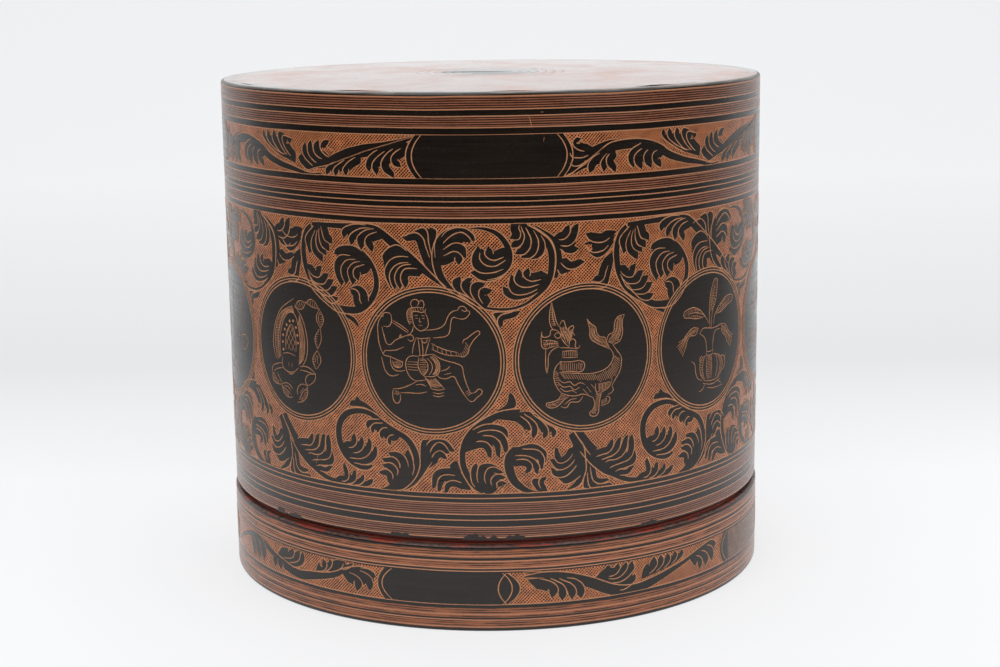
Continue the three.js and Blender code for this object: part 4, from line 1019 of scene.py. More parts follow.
def moved(lines, x, y, turn=1.0):
    """Lines moved to a place, and turned upside down where turn is -1."""
    return tuple(tuple((x + u * turn, y + v * turn) for u, v in line) for line in lines)


FIGURES["fish"] = FISH + moved(FISH, 0, 0, -1)
FIGURES["ram"] = BEAST + (
    ((-10.5, 12.5), (-7.5, 15.5), (-4, 13.5), (-4.2, 9.5), (-7.5, 8.6), (-8.8, 11), (-7, 12.2), (-5.8, 11)),
)
FIGURES["bull"] = BEAST + (
    ((-12, 12), (-14.4, 14.4), (-13.4, 17.6)), ((-10.6, 11.4), (-12.4, 14.2), (-13.4, 17.6)),
    ((-10, 10.6), (-6.6, 12.4), (-7.2, 16.6)), ((-9.4, 9.4), (-5.2, 12), (-7.2, 16.6)),
    ((-8, 6), (-5, 9.6), (-2, 8)),
)
FIGURES["lion"] = BEAST + (
    ((-11, 12.4), (-8, 13.6), (-5.6, 11), (-7, 8.4)), ((-7, 9.6), (-3.6, 9.4), (-4.4, 6.4), (-6.6, 5.4)),
    ((-5, 6.6), (-2.6, 4.4), (-5, 2.6), (-7.4, 3.4)), ((-6, 3), (-4.8, 0.2), (-7.4, -0.6), (-9, 1)),
    ((-12.6, 11.6), (-12.2, 14), (-10.4, 12.8)),
    ((17, -3), (15.6, -4.4), (17, -6.4), (18.4, -4.4), (17, -3)),
)
PERSON = PERSON_MIDDLE + mirrored(HALF_PERSON)
FIGURES["twins"] = moved(PERSON, -8.2, -1) + moved(PERSON, 8.2, -1)
FIGURES["maiden"] = PERSON + mirrored((
    ((6.2, 2), (9.6, 5), (12, 9)),
    ((12, 9), (14.8, 11.6), (12.4, 13.8), (10, 11.6), (12, 9)),
))
FIGURES["scales"] = mirrored(HALF_SCALES)
FIGURES["crab"] = mirrored(HALF_CRAB)


class Sock:
    """A shader value that builds Math nodes from Python expressions."""

    def __init__(self, tree, link):
        self.tree = tree
        self.link = link

    def _math(self, operation, *inputs):
        return self.tree.node("ShaderNodeMath", {"operation": operation}, *inputs)

    def __add__(self, other):
        return self._math("ADD", self, other)

    __radd__ = __add__

    def __sub__(self, other):
        return self._math("SUBTRACT", self, other)

    def __rsub__(self, other):
        return self._math("SUBTRACT", other, self)

    def __mul__(self, other):
        return self._math("MULTIPLY", self, other)

    __rmul__ = __mul__

    def __truediv__(self, other):
        return self._math("DIVIDE", self, other)

    def __neg__(self):
        return self * -1.0

    def __gt__(self, other):
        return self._math("GREATER_THAN", self, other)

    def __lt__(self, other):
        return self._math("LESS_THAN", self, other)

    def atan2(self, other):
        return self._math("ARCTAN2", self, other)

    def pingpong(self, scale):
        return self._math("PINGPONG", self, scale)

    def near(self, value, reach):
        return self._math("COMPARE", self, value, reach)

    def max(self, other):
        return self._math("MAXIMUM", self, other)

    def sqrt(self):
        return self._math("SQRT", self)

    def between(self, low, high):
        return (self > low) * (self < high)

    def ramp(self, low, high, out_low=0.0, out_high=1.0):
        return self.tree.node("ShaderNodeMapRange", {"clamp": True}, self, low, high,
                              out_low, out_high)


class Tree:
    """A node tree and the short ways to add nodes to it."""

    def __init__(self, owner, coordinates):
        owner.use_nodes = True
        self.nodes = owner.node_tree.nodes
        self.links = owner.node_tree.links
        place = self.node("ShaderNodeTexCoord", {}, out=coordinates)
        self.place = self.node("ShaderNodeVectorMath", {"operation": "SCALE"}, place,
                               Scale=1.0 / MM, out="Vector")
        split = self.nodes.new("ShaderNodeSeparateXYZ")
        self.links.new(self.place.link, split.inputs[0])
        self.x, self.y, self.z = (Sock(self, out) for out in split.outputs)

    def ray(self, kind):
        return self.node("ShaderNodeLightPath", {}, out=f"Is {kind} Ray")

    def node(self, kind, settings, *inputs, out=0, **named):
        made = self.nodes.new(kind)
        for key, value in settings.items():
            setattr(made, key, value)
        for socket, value in list(zip(made.inputs, inputs)) + [
            (made.inputs[key], value) for key, value in named.items()
        ]:
            self.feed(socket, value)
        return Sock(self, made.outputs[out])

    def feed(self, socket, value):
        if isinstance(value, Sock):
            self.links.new(value.link, socket)
        else:
            socket.default_value = value

    def vector(self, x, y, z):
        return self.node("ShaderNodeCombineXYZ", {}, x, y, z)

    def noise(self, where, scale, detail=3.0, roughness=0.55):
        return self.node("ShaderNodeTexNoise", {}, Vector=where, Scale=scale, Detail=detail,
                         Roughness=roughness)

    def mix(self, factor, low, high):
        made = self.nodes.new("ShaderNodeMix")
        made.data_type = "RGBA"
        for socket, value in ((made.inputs[0], factor), (made.inputs[6], low),
                              (made.inputs[7], high)):
            if isinstance(value, tuple):
                value = (*value, 1.0)
            self.feed(socket, value)
        return Sock(self, made.outputs[2])


class Finish(Tree):
    """One material with a single shader."""

    def __init__(self, name):
        self.material = bpy.data.materials.new(name)
        super().__init__(self.material, "Object")
        self.shader = self.nodes["Principled BSDF"]

    def bump(self, height, distance, strength):
        bump = self.node("ShaderNodeBump", {}, Height=height, Distance=distance,
                         Strength=strength)
        self.feed(self.shader.inputs["Normal"], bump)

    def set(self, **sockets):
        for key, value in sockets.items():
            if isinstance(value, tuple):
                value = (*value, 1.0)
            self.feed(self.shader.inputs[key.replace("_", " ")], value)
        return self.material


def lacquer_black(finish, wall):
    """Black lacquer colour with faint streaks that run round the wall."""
    streak = finish.noise(finish.vector(wall * 0.02, finish.z * 1.3, 0.0), 1.0, 4.0)
    cloud = finish.noise(finish.place, 0.05, 3.0)
    tone = finish.mix(streak.ramp(0.35, 0.75), BLACK_LACQUER, STREAKED_LACQUER)
    return finish.mix(cloud.ramp(0.45, 0.8) * 0.5, tone, CLOUDED_LACQUER)


def brushed(finish, wall):
    """Roughness of polished lacquer, with brush marks that run round the wall."""
    grain = finish.noise(finish.place, 0.8, 3.0)
    brush = finish.noise(finish.vector(wall * 0.03, finish.z * 0.9, 6.0), 1.0, 4.0)
    return (grain * 0.4 + brush * 0.6).ramp(0.35, 0.65, 0.14, 0.30)


def hatch(across, up, hand, crossed):
    """Orange share of a ground of slanting cuts, deeper or shallower with the hand and crossed by a
    second set in places."""
    rising = (((across - up) / HATCH_PITCH).pingpong(1.0) + hand).ramp(0.63, 0.74)
    falling = (((across + up) / HATCH_PITCH).pingpong(1.0) + hand).ramp(0.69, 0.80)
    return rising.max(falling * crossed)


def engraved_wall(name, radius, lines, pinstripes, grounds, zone, edge):
    """Black lacquer with turned orange lines, fine line zones and cross-hatched grounds, and above
    the height of its edge rubbed pale."""
    zone_ground, zone_worn, zone_fine, zone_single = zone
    finish = Finish(name)
    wall = finish.x.atan2(-finish.y) * radius
    wobble = finish.noise(finish.vector(wall * 0.03, finish.z * 0.05, 3.0), 1.0, 2.0)
    height = finish.z + (wobble - 0.5) * 0.5
    black = lacquer_black(finish, wall)

    patchy = finish.noise(finish.vector(wall * 0.10, finish.z * 0.9, 7.0), 1.0, 3.0)
    fine = (height / WALL_FINE_PITCH).pingpong(1.0)
    stripe = fine.ramp(0.50, 0.72) * patchy.ramp(0.25, 0.6, 0.45, 0.95)
    striped = sum(height.between(low, high) for low, high in pinstripes)
    single = sum(height.near(at, WALL_LINE_HALF_WIDTH) for at in lines)
    line_work = single.max(striped * stripe)

    shift = finish.noise(finish.vector(wall * 0.25, finish.z * 0.25, 1.0), 1.0, 2.0)
    slant = shift * 1.2
    hand = finish.noise(finish.vector(wall * 0.30, finish.z * 0.30, 13.0), 1.0, 4.0, 0.65)
    crossed = finish.noise(finish.vector(wall * 0.12, finish.z * 0.12, 17.0), 1.0, 2.0)
    cut = hatch(wall + slant, finish.z, (hand - 0.5) * 0.55, crossed.ramp(0.38, 0.56, 0.55, 1.0))
    hatched = sum(height.between(low, high) for low, high in grounds)
    filled = line_work.max(hatched * cut)

    age = finish.noise(finish.place, 0.35, 4.0, 0.6)
    orange = finish.mix(age.ramp(0.3, 0.7), ORANGE_FILL, WORN_FILL)
    fill = finish.mix(single, finish.mix(striped, orange, zone_fine), zone_single)
    tint = finish.noise(finish.vector(wall * 0.08, finish.z * 0.8, 11.0), 1.0, 4.0, 0.65)
    ground = finish.mix(striped, black, finish.mix(tint.ramp(0.46, 0.58), zone_ground, zone_worn))
    mottle = finish.noise(finish.vector(wall * 0.06, finish.z * 0.5, 2.0), 1.0, 3.0, 0.6)
    rubbed = height.ramp(edge + 0.2, edge + 0.9) * mottle.ramp(0.40, 0.62, 0.25, 0.9)
    colour = finish.mix(rubbed, finish.mix(filled, ground, fill), RUBBED_EDGE)
    rough = brushed(finish, wall)
    finish.bump(filled * -0.02 + rough * 0.05, 1.0 * MM, 0.4)
    return finish.set(Base_Color=colour, Roughness=rough + filled * 0.10 + rubbed * 0.3,
                      Specular_IOR_Level=0.45)


def engraved_disc(name, lines, pinstripes, grounds):
    """The polished top: rings of turned lines and hatched rings in black lacquer, rubbed in places."""
    finish = Finish(name)
    out = (finish.x * finish.x + finish.y * finish.y).sqrt()
    round_it = finish.x.atan2(-finish.y) * TOP_BRUSH_RADIUS
    wobble = finish.noise(finish.vector(finish.x * 0.03, finish.y * 0.03, 5.0), 1.0, 2.0)
    radius = out + (wobble - 0.5) * 0.6
    black = lacquer_black(finish, round_it)
    striped = sum(radius.between(low, high) for low, high in pinstripes)
    fine = (radius / TOP_FINE_PITCH).pingpong(1.0).ramp(0.45, 0.7)
    single = sum(radius.near(at, TOP_LINE_HALF_WIDTH) for at in lines)
    hatched = sum(radius.between(low, high) for low, high in grounds)
    hand = finish.noise(finish.place, 0.30, 4.0, 0.65)
    cut = hatch(finish.x, finish.y, (hand - 0.5) * 0.6 - 0.06, 1.0)
    filled = single.max(striped * fine).max(hatched * cut)
    age = finish.noise(finish.place, 0.35, 4.0, 0.6)
    orange = finish.mix(age.ramp(0.3, 0.7), ORANGE_FILL, WORN_FILL)
    rub = finish.noise(finish.vector(finish.x * 0.03, finish.y * 0.022, 0.0), 1.0, 5.0, 0.6)
    worn = rub.ramp(0.45, 0.62) * out.ramp(16.0, 26.0) * 0.62
    colour = finish.mix(worn, finish.mix(filled, black, orange), WORN_TOP)
    marks = (out / RUBBED_RING_PITCH).pingpong(1.0).ramp(0.70, 0.95) * out.between(*RUBBED_RINGS)
    streaky = finish.noise(finish.vector(finish.x * 0.05, finish.y * 0.20, 8.0), 1.0, 3.0)
    aside = (finish.x - SCUFF_AT) / SCUFF_HALF_LENGTH
    deep = finish.y / SCUFF_HALF_DEPTH
    scuff = (1.0 - aside * aside - deep * deep).ramp(0.0, 0.6) * 0.65
    dulled = (marks * streaky.ramp(0.42, 0.56)).max(scuff)
    coat = rub.ramp(0.42, 0.60, 0.48, 0.18) * (1.0 - dulled)
    return finish.set(Base_Color=colour,
                      Roughness=rub.ramp(0.35, 0.7, 0.05, 0.18) + dulled * 0.3,
                      Specular_IOR_Level=0.24, Coat_Weight=coat, Coat_Roughness=0.05)


def plain_lacquer(name, colour, worn, rubbed):
    """Plain lacquer with brush marks round the wall and slightly worn tone, with painted light at
    the height of the cover's mouth: a pale band where the cover casts its shade."""
    finish = Finish(name)
    wall = finish.x.atan2(-finish.y) * PLAIN_BRUSH_RADIUS
    brush = finish.noise(finish.vector(wall * 0.03, finish.z * 0.8, 2.0), 1.0, 4.0)
    cloud = finish.noise(finish.place, 0.04, 4.0, 0.6)
    tone = finish.mix(cloud.ramp(0.35, 0.7) * 0.8 + brush.ramp(0.4, 0.8) * 0.2, colour, worn)
    # Painted light: a pale band at the cover's mouth, mottled by the cloud, in place of the cover's shade;
    # rub is its mask and rubbed its colour
    low, high = MOUTH_PAINTED_LIGHT
    rub = finish.z.ramp(low - 1.0, low) * finish.z.ramp(high, high + 1.5, 1.0, 0.0)
    tone = finish.mix(rub * cloud.ramp(0.35, 0.6, 0.9, 0.6), tone, rubbed)
    finish.bump(brush, 0.15 * MM, 0.5)
    rough = cloud.ramp(0.3, 0.7, 0.25, 0.4)
    return finish.set(Base_Color=tone, Roughness=rough, Specular_IOR_Level=0.4)


def worn_rim_and_highlights(name):
    """Red lacquer rubbed through to dark ground along an edge, with painted grey-pink highlights."""
    finish = Finish(name)
    wall = finish.x.atan2(-finish.y) * SKIRT_RADIUS
    rub = finish.noise(finish.vector(wall * 0.06, finish.z * 0.5, 4.0), 1.0, 5.0, 0.65)
    # Painted highlight: grey-pink flecks mottle the dark ground of the rim
    mottle = finish.noise(finish.vector(wall * 0.5, finish.z * 2.0, 9.0), 1.0, 3.0)
    ground = finish.mix(mottle.ramp(0.35, 0.75), RIM_GROUND, RIM_HIGHLIGHT)
    tone = finish.mix(rub.ramp(0.50, 0.60), ground, RED_LACQUER)
    return finish.set(Base_Color=tone, Roughness=0.4, Specular_IOR_Level=0.4)


def inlay_black(name):
    """Black lacquer left standing between the engraved lines."""
    finish = Finish(name)
    wall = finish.x.atan2(-finish.y) * COVER_RADIUS
    black = lacquer_black(finish, wall)
    rough = brushed(finish, wall)
    start, end = SKIRT_WORN
    rub = finish.noise(finish.place, 0.25, 4.0, 0.6)
    stretch = wall.ramp(start, start + 2.0) * wall.ramp(end, end + 10.0, 1.0, 0.0)
    below = finish.z.ramp(SKIRT_WORN_TOP, SKIRT_WORN_TOP + 1.0, 1.0, 0.0)
    worn = stretch * below * rub.ramp(0.30, 0.62, 0.97, 0.45)
    finish.bump(rough, 0.05 * MM, 0.4)
    return finish.set(Base_Color=finish.mix(worn, black, RUBBED_GROUND), Roughness=rough + worn * 0.1,
                      Specular_IOR_Level=0.45)


def inlay_orange(name, colour, worn):
    """Orange pigment rubbed into the cut lines."""
    finish = Finish(name)
    rub = finish.noise(finish.place, 0.5, 4.0, 0.65)
    tone = finish.mix(rub.ramp(0.35, 0.75), colour, worn)
    return finish.set(Base_Color=tone, Roughness=0.45, Specular_IOR_Level=0.3)


ENGRAVED_COVER = engraved_wall("engraved_cover", COVER_RADIUS, COVER_LINES, COVER_PINSTRIPES,
                               COVER_GROUNDS, COVER_ZONE, COVER_EDGE - 0.9)
ENGRAVED_SKIRT = engraved_wall("engraved_skirt", SKIRT_RADIUS, SKIRT_LINES, SKIRT_PINSTRIPES,
                               SKIRT_GROUNDS, SKIRT_ZONE, COVER_EDGE)
ENGRAVED_TOP = engraved_disc("engraved_top", TOP_LINES, TOP_PINSTRIPES, TOP_GROUNDS)
RED = plain_lacquer("red_lacquer", RED_LACQUER, WORN_RED, PAINTED_LIGHT_RED)
RIM = worn_rim_and_highlights("worn_rim_and_highlights")
DARK = plain_lacquer("plain_black_lacquer", BLACK_LACQUER, WORN_BLACK, BLACK_LACQUER)
LEAF = inlay_black("inlay_black")
FILL = inlay_orange("inlay_orange", PALE_FILL, WORN_PALE_FILL)
PLAIN = {"red_lacquer": RED, "black_lacquer": DARK}


def keep(name, bm, materials, body, slot, *nodes):
    """Makes the finished bmesh a piece of the object that rides on a body."""
    mesh = bpy.data.meshes.new(name)
    bm.to_mesh(mesh)
    bm.free()
    for material in materials:
        mesh.materials.append(material)
    mesh.shade_smooth()
    mesh.set_sharp_from_angle(angle=SHARP_ANGLE)
    piece = bpy.data.objects.new(name, mesh)
    bpy.context.scene.collection.objects.link(piece)
    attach(piece, body)
    if nodes:
        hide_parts(*nodes)
    return piece


def turned(section, roundings=()):
    """A bmesh turned round +Z from a closed or axis-to-axis section in millimetres.
    roundings gives, by section corner, the radius of its rounded edge."""
    bm = bmesh.new()
    verts = [bm.verts.new((r * MM, 0.0, z * MM)) for r, z in section]
    for start, end in zip(verts, verts[1:]):
        bm.edges.new((start, end))
    if section[0][0] > 0.0:
        bm.edges.new((verts[-1], verts[0]))
    bmesh.ops.spin(bm, geom=bm.verts[:] + bm.edges[:], cent=(0, 0, 0), axis=(0, 0, 1),
                   angle=math.tau, steps=SPIN_STEPS, use_merge=True)
    bmesh.ops.remove_doubles(bm, verts=bm.verts, dist=1e-7)
    bmesh.ops.recalc_face_normals(bm, faces=bm.faces)
    for corner, radius in roundings:
        r, z = section[corner]
        rim = [
            edge for edge in bm.edges
            if all(abs(v.co.xy.length - r * MM) < 1e-6 and abs(v.co.z - z * MM) < 1e-6
                   for v in edge.verts)
        ]
        bmesh.ops.bevel(bm, geom=rim, offset=radius * MM, offset_type="OFFSET",
                        affect="EDGES", segments=CORNER_SEGMENTS, profile=0.5, material=-1)
    return bm


def ring(inner, outer, bottom, top, **roundings):
    """A turned ring. roundings are named heel, foot, rim and lip: inner bottom, outer bottom, outer top
    and inner top."""
    corners = {"heel": 0, "foot": 1, "rim": 2, "lip": 3}
    section = [(inner, bottom), (outer, bottom), (outer, top), (inner, top)]
    return turned(section, [(corners[key], radius) for key, radius in roundings.items()])


def disc(radius, bottom, top, edge):
    section = [(0.0, bottom), (radius, bottom), (radius, top), (0.0, top)]
    return turned(section, [(1, edge), (2, edge)])


def span(node):
    """Outer radius, bottom and top of a CAD node, in millimetres."""
    low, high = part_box(node)
    return high.x / MM, low.z / MM, high.z / MM


def face_outside(bm, index, radius):
    """Gives the faces that lie outside a radius another material slot."""
    for face in bm.faces:
        if face.calc_center_median().xy.length > radius * MM:
            face.material_index = index


def face_above(bm, index, height):
    """Gives the faces that lie above a height another material slot."""
    for face in bm.faces:
        if face.calc_center_median().z > height * MM:
            face.material_index = index


def plain_ring(piece, node, body, slot, thickness, **roundings):
    """A ring of plain lacquer in place of a CAD node."""
    outer, bottom, top = span(node)
    bm = ring(outer - thickness, outer, bottom, top, **roundings)
    keep(piece, bm, [PLAIN[slot]], body, slot, node)


def plain_floor(piece, node, body):
    """A disc of red lacquer in place of a CAD node."""
    outer, bottom, top = span(node)
    keep(piece, disc(outer, bottom, top, FLOOR_ROUND), [RED], body, "red_lacquer", node)


def build_cover():
    outer, bottom, top = span("cover_wall")
    inner = outer - COVER_WALL_THICKNESS
    lap = span("cover_top_disc")[0] + RIM_LAP
    top += RIM_RISE
    section = [(inner, bottom), (outer, bottom), (outer, top), (lap, top), (lap, top - LIP_DEPTH),
               (inner, top - LIP_DEPTH)]
    bm = turned(section, [(0, COVER_MOUTH_ROUND), (1, COVER_MOUTH_ROUND), (2, COVER_SHOULDER_ROUND)])
    face_outside(bm, 1, inner + RED_REACH)
    face_above(bm, 1, top - LIP_REACH)
    face_above(bm, 2, top - RIM_REACH)
    keep("cover_wall_skin", bm, [RED, ENGRAVED_COVER, ENGRAVED_TOP], "cover", "engraved_lacquer",
         "cover_wall")
    plain_ring("cover_shoulder_ring", "cover_shoulder_hoop", "cover", "red_lacquer",
               SHOULDER_HOOP_THICKNESS, heel=HOOP_ROUND)
    outer, bottom, top = span("cover_top_disc")
    section = [(0.0, bottom), (outer, bottom), (outer, top - TOP_EDGE_FALL)]
    section += [(radius, top - fall) for radius, fall in TOP_FALL]
    section.append((0.0, top))
    bm = turned(section)
    for v in bm.verts:
        if v.co.xy.length > (outer - DISC_EDGE_REACH) * MM and v.co.z > (bottom + DISC_UNDERSIDE) * MM:
            lift = noise.noise(Vector((v.co.x * TOP_EDGE_WAVES, v.co.y * TOP_EDGE_WAVES, 1.0)))
            v.co.z += (RIM_RISE + max(lift, 0.0) * TOP_EDGE_UNEVEN) * MM
    face_above(bm, 1, bottom + DISC_UNDERSIDE)
    keep("cover_top_skin", bm, [RED, ENGRAVED_TOP], "cover", "engraved_lacquer", "cover_top_disc")


def build_base():
    plain_ring("body_wall_skin", "body_wall", "base", "red_lacquer", BODY_WALL_THICKNESS,
               rim=MOUTH_ROUND, lip=MOUTH_ROUND)
    plain_floor("body_floor_skin", "body_floor", "base")
    plain_ring("body_foot_ring", "body_foot_hoop", "base", "black_lacquer", FOOT_HOOP_THICKNESS,
               heel=HOOP_ROUND)
    outer, bottom, top = span("skirt_band")
    bm = ring(outer - SKIRT_WALL_THICKNESS, outer - SKIRT_INSET, bottom, top, **SKIRT_ROUNDS)
    face_above(bm, 1, top - SKIRT_RIM_DEPTH)
    keep("skirt_band_skin", bm, [ENGRAVED_SKIRT, RIM], "base", "engraved_lacquer", "skirt_band")
    plain_ring("skirt_ledge_ring", "skirt_ledge_hoop", "base", "red_lacquer", SKIRT_HOOP_THICKNESS)
    plain_ring("skirt_foot_ring", "skirt_foot_hoop", "base", "black_lacquer", SKIRT_HOOP_THICKNESS)


def build_tray(body):
    plain_ring(f"{body}_wall_skin", f"{body}_wall", body, "red_lacquer", TRAY_WALL_THICKNESS,
               rim=MOUTH_ROUND, lip=MOUTH_ROUND)
    plain_floor(f"{body}_floor_skin", f"{body}_floor", body)
    plain_ring(f"{body}_foot_ring", f"{body}_foot_hoop", body, "black_lacquer", TRAY_FOOT_THICKNESS,
               **TRAY_FOOT_ROUNDS)


class Ornament:
    """Flat ornament in millimetres, x along the wall and y up it, later wrapped round a wall."""

    def __init__(self):
        self.patches = bmesh.new()
        self.contours = bmesh.new()
        self.lines = bmesh.new()
        self.count = 0

    def patch(self, outline, contour=False):
        """A closed black field left standing, with a cut round it if it has a contour."""
        if contour:
            self._contour([Vector(p) for p in outline])
        height = PATCH_HALF_THICKNESS + self.count % PATCH_LAYERS * PATCH_STEP
        self.count += 1
        curve = bpy.data.curves.new("outline", "CURVE")
        curve.dimensions = "2D"
        curve.fill_mode = "BOTH"
        curve.extrude = height
        spline = curve.splines.new("POLY")
        spline.points.add(len(outline) - 1)
        for point, (x, y) in zip(spline.points, outline):
            point.co = (x, y, 0.0, 1.0)
        spline.use_cyclic_u = True
        self._take(curve, self.patches)

    def _contour(self, outline):
        """A thin closed strip round an outline, under the edge of its field."""
        points = [p for i, p in enumerate(outline) if (p - outline[i - 1]).length > 1e-3]
        ahead = points[1:] + points[:1]
        area = sum(a.cross(b) for a, b in zip(points, ahead))
        rows = []
        for before, point, after in zip(points[-1:] + points, points, ahead):
            way = (after - before).normalized()
            out = Vector((way.y, -way.x)) * math.copysign(CONTOUR_WIDTH, area)
            inner, outer = point - out / 2, point + out
            rows.append([self.contours.verts.new(place) for place in (
                (*inner, CONTOUR_HALF_THICKNESS), (*outer, CONTOUR_HALF_THICKNESS),
                (*point, -CONTOUR_HALF_THICKNESS))])
        for row, following in zip(rows, rows[1:] + rows[:1]):
            for j in range(3):
                self.contours.faces.new((row[j - 1], row[j], following[j], following[j - 1]))

    def strokes(self, paths):
        """Cut lines: each path is (points, half width, closed)."""
        curve = bpy.data.curves.new("lines", "CURVE")
        curve.dimensions = "3D"
        curve.twist_mode = "Z_UP"
        curve.bevel_depth = 1.0
        curve.bevel_resolution = 0
        curve.use_fill_caps = True
        curve.resolution_u = 3
        for points, half, closed in paths:
            spline = curve.splines.new("BEZIER")
            spline.bezier_points.add(len(points) - 1)
            last = len(points) - 1
            for i, (knot, (x, y)) in enumerate(zip(spline.bezier_points, points)):
                knot.co = (x, y, 0.0)
                knot.handle_left_type = "AUTO"
                knot.handle_right_type = "AUTO"
                knot.radius = half if closed or 0 < i < last else half * LINE_TAPER
            spline.use_cyclic_u = closed
        self._take(curve, self.lines)

    @staticmethod
    def _take(curve, bm):
        holder = bpy.data.objects.new("flat", curve)
        mesh = bpy.data.meshes.new_from_object(holder)
        bm.from_mesh(mesh)
        bpy.data.objects.remove(holder)
        bpy.data.curves.remove(curve)
        bpy.data.meshes.remove(mesh)

    def wrap(self, radius, name, body):
        """Bends the flat work round a wall and keeps each kind as a piece."""
        for kind, bm, lift, flat, material in (
            ("contours", self.contours, 0.0, 1.0, FILL),
            ("leaves", self.patches, 0.0, 1.0, LEAF),
            ("lines", self.lines, LINE_LIFT, LINE_FLATTENING, FILL),
        ):
            if not bm.verts:
                bm.free()
                continue
            if bm is self.patches:
                self._slice(bm)
            for v in bm.verts:
                angle = v.co.x / radius
                r = radius + lift + v.co.z * flat
                v.co = (r * math.sin(angle) * MM, -r * math.cos(angle) * MM, v.co.y * MM)
            bmesh.ops.recalc_face_normals(bm, faces=bm.faces)
            keep(f"{name}_{kind}", bm, [material], body, "engraved_lacquer")

    @staticmethod
    def _slice(bm):
        """Cuts wide fields into narrow strips, so that they bend smoothly."""
        bmesh.ops.remove_doubles(bm, verts=bm.verts, dist=1e-4)
        xs = [v.co.x for v in bm.verts]
        for step in range(math.ceil(min(xs) / WRAP_STEP), math.floor(max(xs) / WRAP_STEP) + 1):
            bmesh.ops.bisect_plane(bm, geom=bm.verts[:] + bm.edges[:] + bm.faces[:],
                                   plane_co=(step * WRAP_STEP, 0, 0), plane_no=(1, 0, 0))


def circle(x, y, radius, count):
    return [(x + radius * math.cos(math.tau * i / count), y + radius * math.sin(math.tau * i / count))
            for i in range(count)]


def smooth(points, closed=False):
    """A smooth path through the given points."""
    points = [Vector(p) for p in points]
    ahead = points[1:] + ([points[0]] if closed else [])
    path = []
    for i, (start, end) in enumerate(zip(points, ahead)):
        before = points[i - 1] if closed or i else start
        after = points[(i + 2) % len(points)] if closed or i + 2 < len(points) else end
        path += interpolate_bezier(start, start + (end - before) / 6, end - (after - start) / 6, end,
                                   PATH_STEPS + 1)[:-1]
    return path if closed else path + points[-1:]


def beside(edge, widths):
    """The edge's points moved to its left by a width for each."""
    last = len(edge) - 1
    far = []
    for i, (point, width) in enumerate(zip(edge, widths)):
        way = (edge[min(i + 1, last)] - edge[max(i - 1, 0)]).normalized()
        far.append(point + Vector((-way.y, way.x)) * width)
    return far


def stem(path, widths):
    """Outline of a stem: its edge and the other side, with the widths spread evenly along it."""
    edge = smooth(path)
    spread = []
    for i in range(len(edge)):
        place = i / (len(edge) - 1) * (len(widths) - 1)
        low = min(int(place), len(widths) - 2)
        spread.append(widths[low] + (widths[low + 1] - widths[low]) * (place - low))
    return edge + beside(edge, spread)[::-1]


def lobe(edge, width):
    """Outline of one lobe: the lacquer beside its outer edge, rounded off at the tip."""
    last = len(edge) - 1
    spread = []
    for i in range(last + 1):
        past = max(0.0, (i / last - LOBE_TIP) / (1.0 - LOBE_TIP))
        spread.append(width * min(1.0, i / last / LOBE_ROOT) * math.sqrt(1.0 - past * past))
    return edge + beside(edge, spread)[::-1]


def along(path, share):
    """The point at a share of a path's length, counted by its steps."""
    place = share * (len(path) - 1)
    low = min(int(place), len(path) - 2)
    return path[low].lerp(path[low + 1], place - low)


def rungs(first, second, count):
    """Short strokes from one path across to another, with uneven ends as cut by hand."""
    first = smooth(first)
    second = smooth(second)
    strokes = []
    for k in range(count):
        share = (k + 0.5) / count
        start = along(first, share)
        end = along(second, share)
        slack = noise.noise(Vector((share * 9.0, count * 1.3, start.x))) * RUNG_SLACK
        strokes.append((start.lerp(end, RUNG_FROM + max(slack, RUNG_LEAST_SLACK)),
                        start.lerp(end, RUNG_TO + slack)))
    return strokes


def scroll(work, unit, place, fullness=1.0):
    """Cuts one unit of scrollwork; place moves a flat point to its spot on the wall."""
    paths = []
    for path, widths in unit["stems"]:
        work.patch([place(p) for p in stem(path, widths)], contour=True)
        paths.append(([place(p) for p in path], EDGE_WIDTH / 2, False))
    for width, root, lobes in unit["leaves"]:
        inner = []
        for path in lobes:
            edge = smooth(root + path)
            work.patch([place(p) for p in lobe(edge, width * fullness)], contour=True)
            last = len(edge) - 1
            vein = edge[round(last * VEIN_FROM):round(last * VEIN_TO) + 1:2]
            paths.append(([place(p) for p in vein], VEIN_WIDTH / 2, False))
            inner.append(edge[:round(last * LEAF_BODY) + 1])
        if len(lobes) > 1:
            body = inner[0] + [edge[-1] for edge in inner[1:-1]] + inner[-1][:0:-1]
            work.patch([place(p) for p in body])
    for drop in unit["drops"]:
        work.patch([place(p) for p in smooth(drop, closed=True)], contour=True)
    work.strokes(paths)


def hand_placed(x, stretch, low, high, copy):
    """A placement that moves and stretches a unit, bends all but its first copy a little, and keeps it
    in its band."""
    def place(point):
        u = x + point[0] * stretch
        v = point[1]
        if copy:
            spot = Vector((u * DRIFT_WAVES, v * DRIFT_WAVES, copy * DRIFT_STEP))
            drift = noise.noise_vector(spot) * HAND_DRIFT
            u += drift.x
            v += drift.y
        return u, min(max(v, low), high)
    return place


def arc(x, half_height, bulge, y):
    """Five points of a bracket-shaped arc that bulges sideways."""
    return [(x + bulge * (1 - t * t), y + half_height * t) for t in (-1.0, -0.55, 0.0, 0.55, 1.0)]


def engrave_band(work, units, shifts, fullness):
    """Scrolls between the roundels, two kinds in turn."""
    low, high = COVER_GROUNDS[1]
    for i in range(ROUNDEL_COUNT):
        x = ROUNDEL_FIRST + (i - 0.5) * ROUNDEL_PITCH + shifts.get(i, 0.0)
        scroll(work, units[i % 2], hand_placed(x, 1.0, low, high, i // 2), fullness)


def engrave_upper_band(work):
    engrave_band(work, (UPPER_FIRST_SCROLL, UPPER_SECOND_SCROLL), UPPER_SHIFTS, UPPER_FULLNESS)


def engrave_lower_band(work):
    engrave_band(work, (LOWER_FIRST_SCROLL, LOWER_SECOND_SCROLL), LOWER_SHIFTS, 1.0)


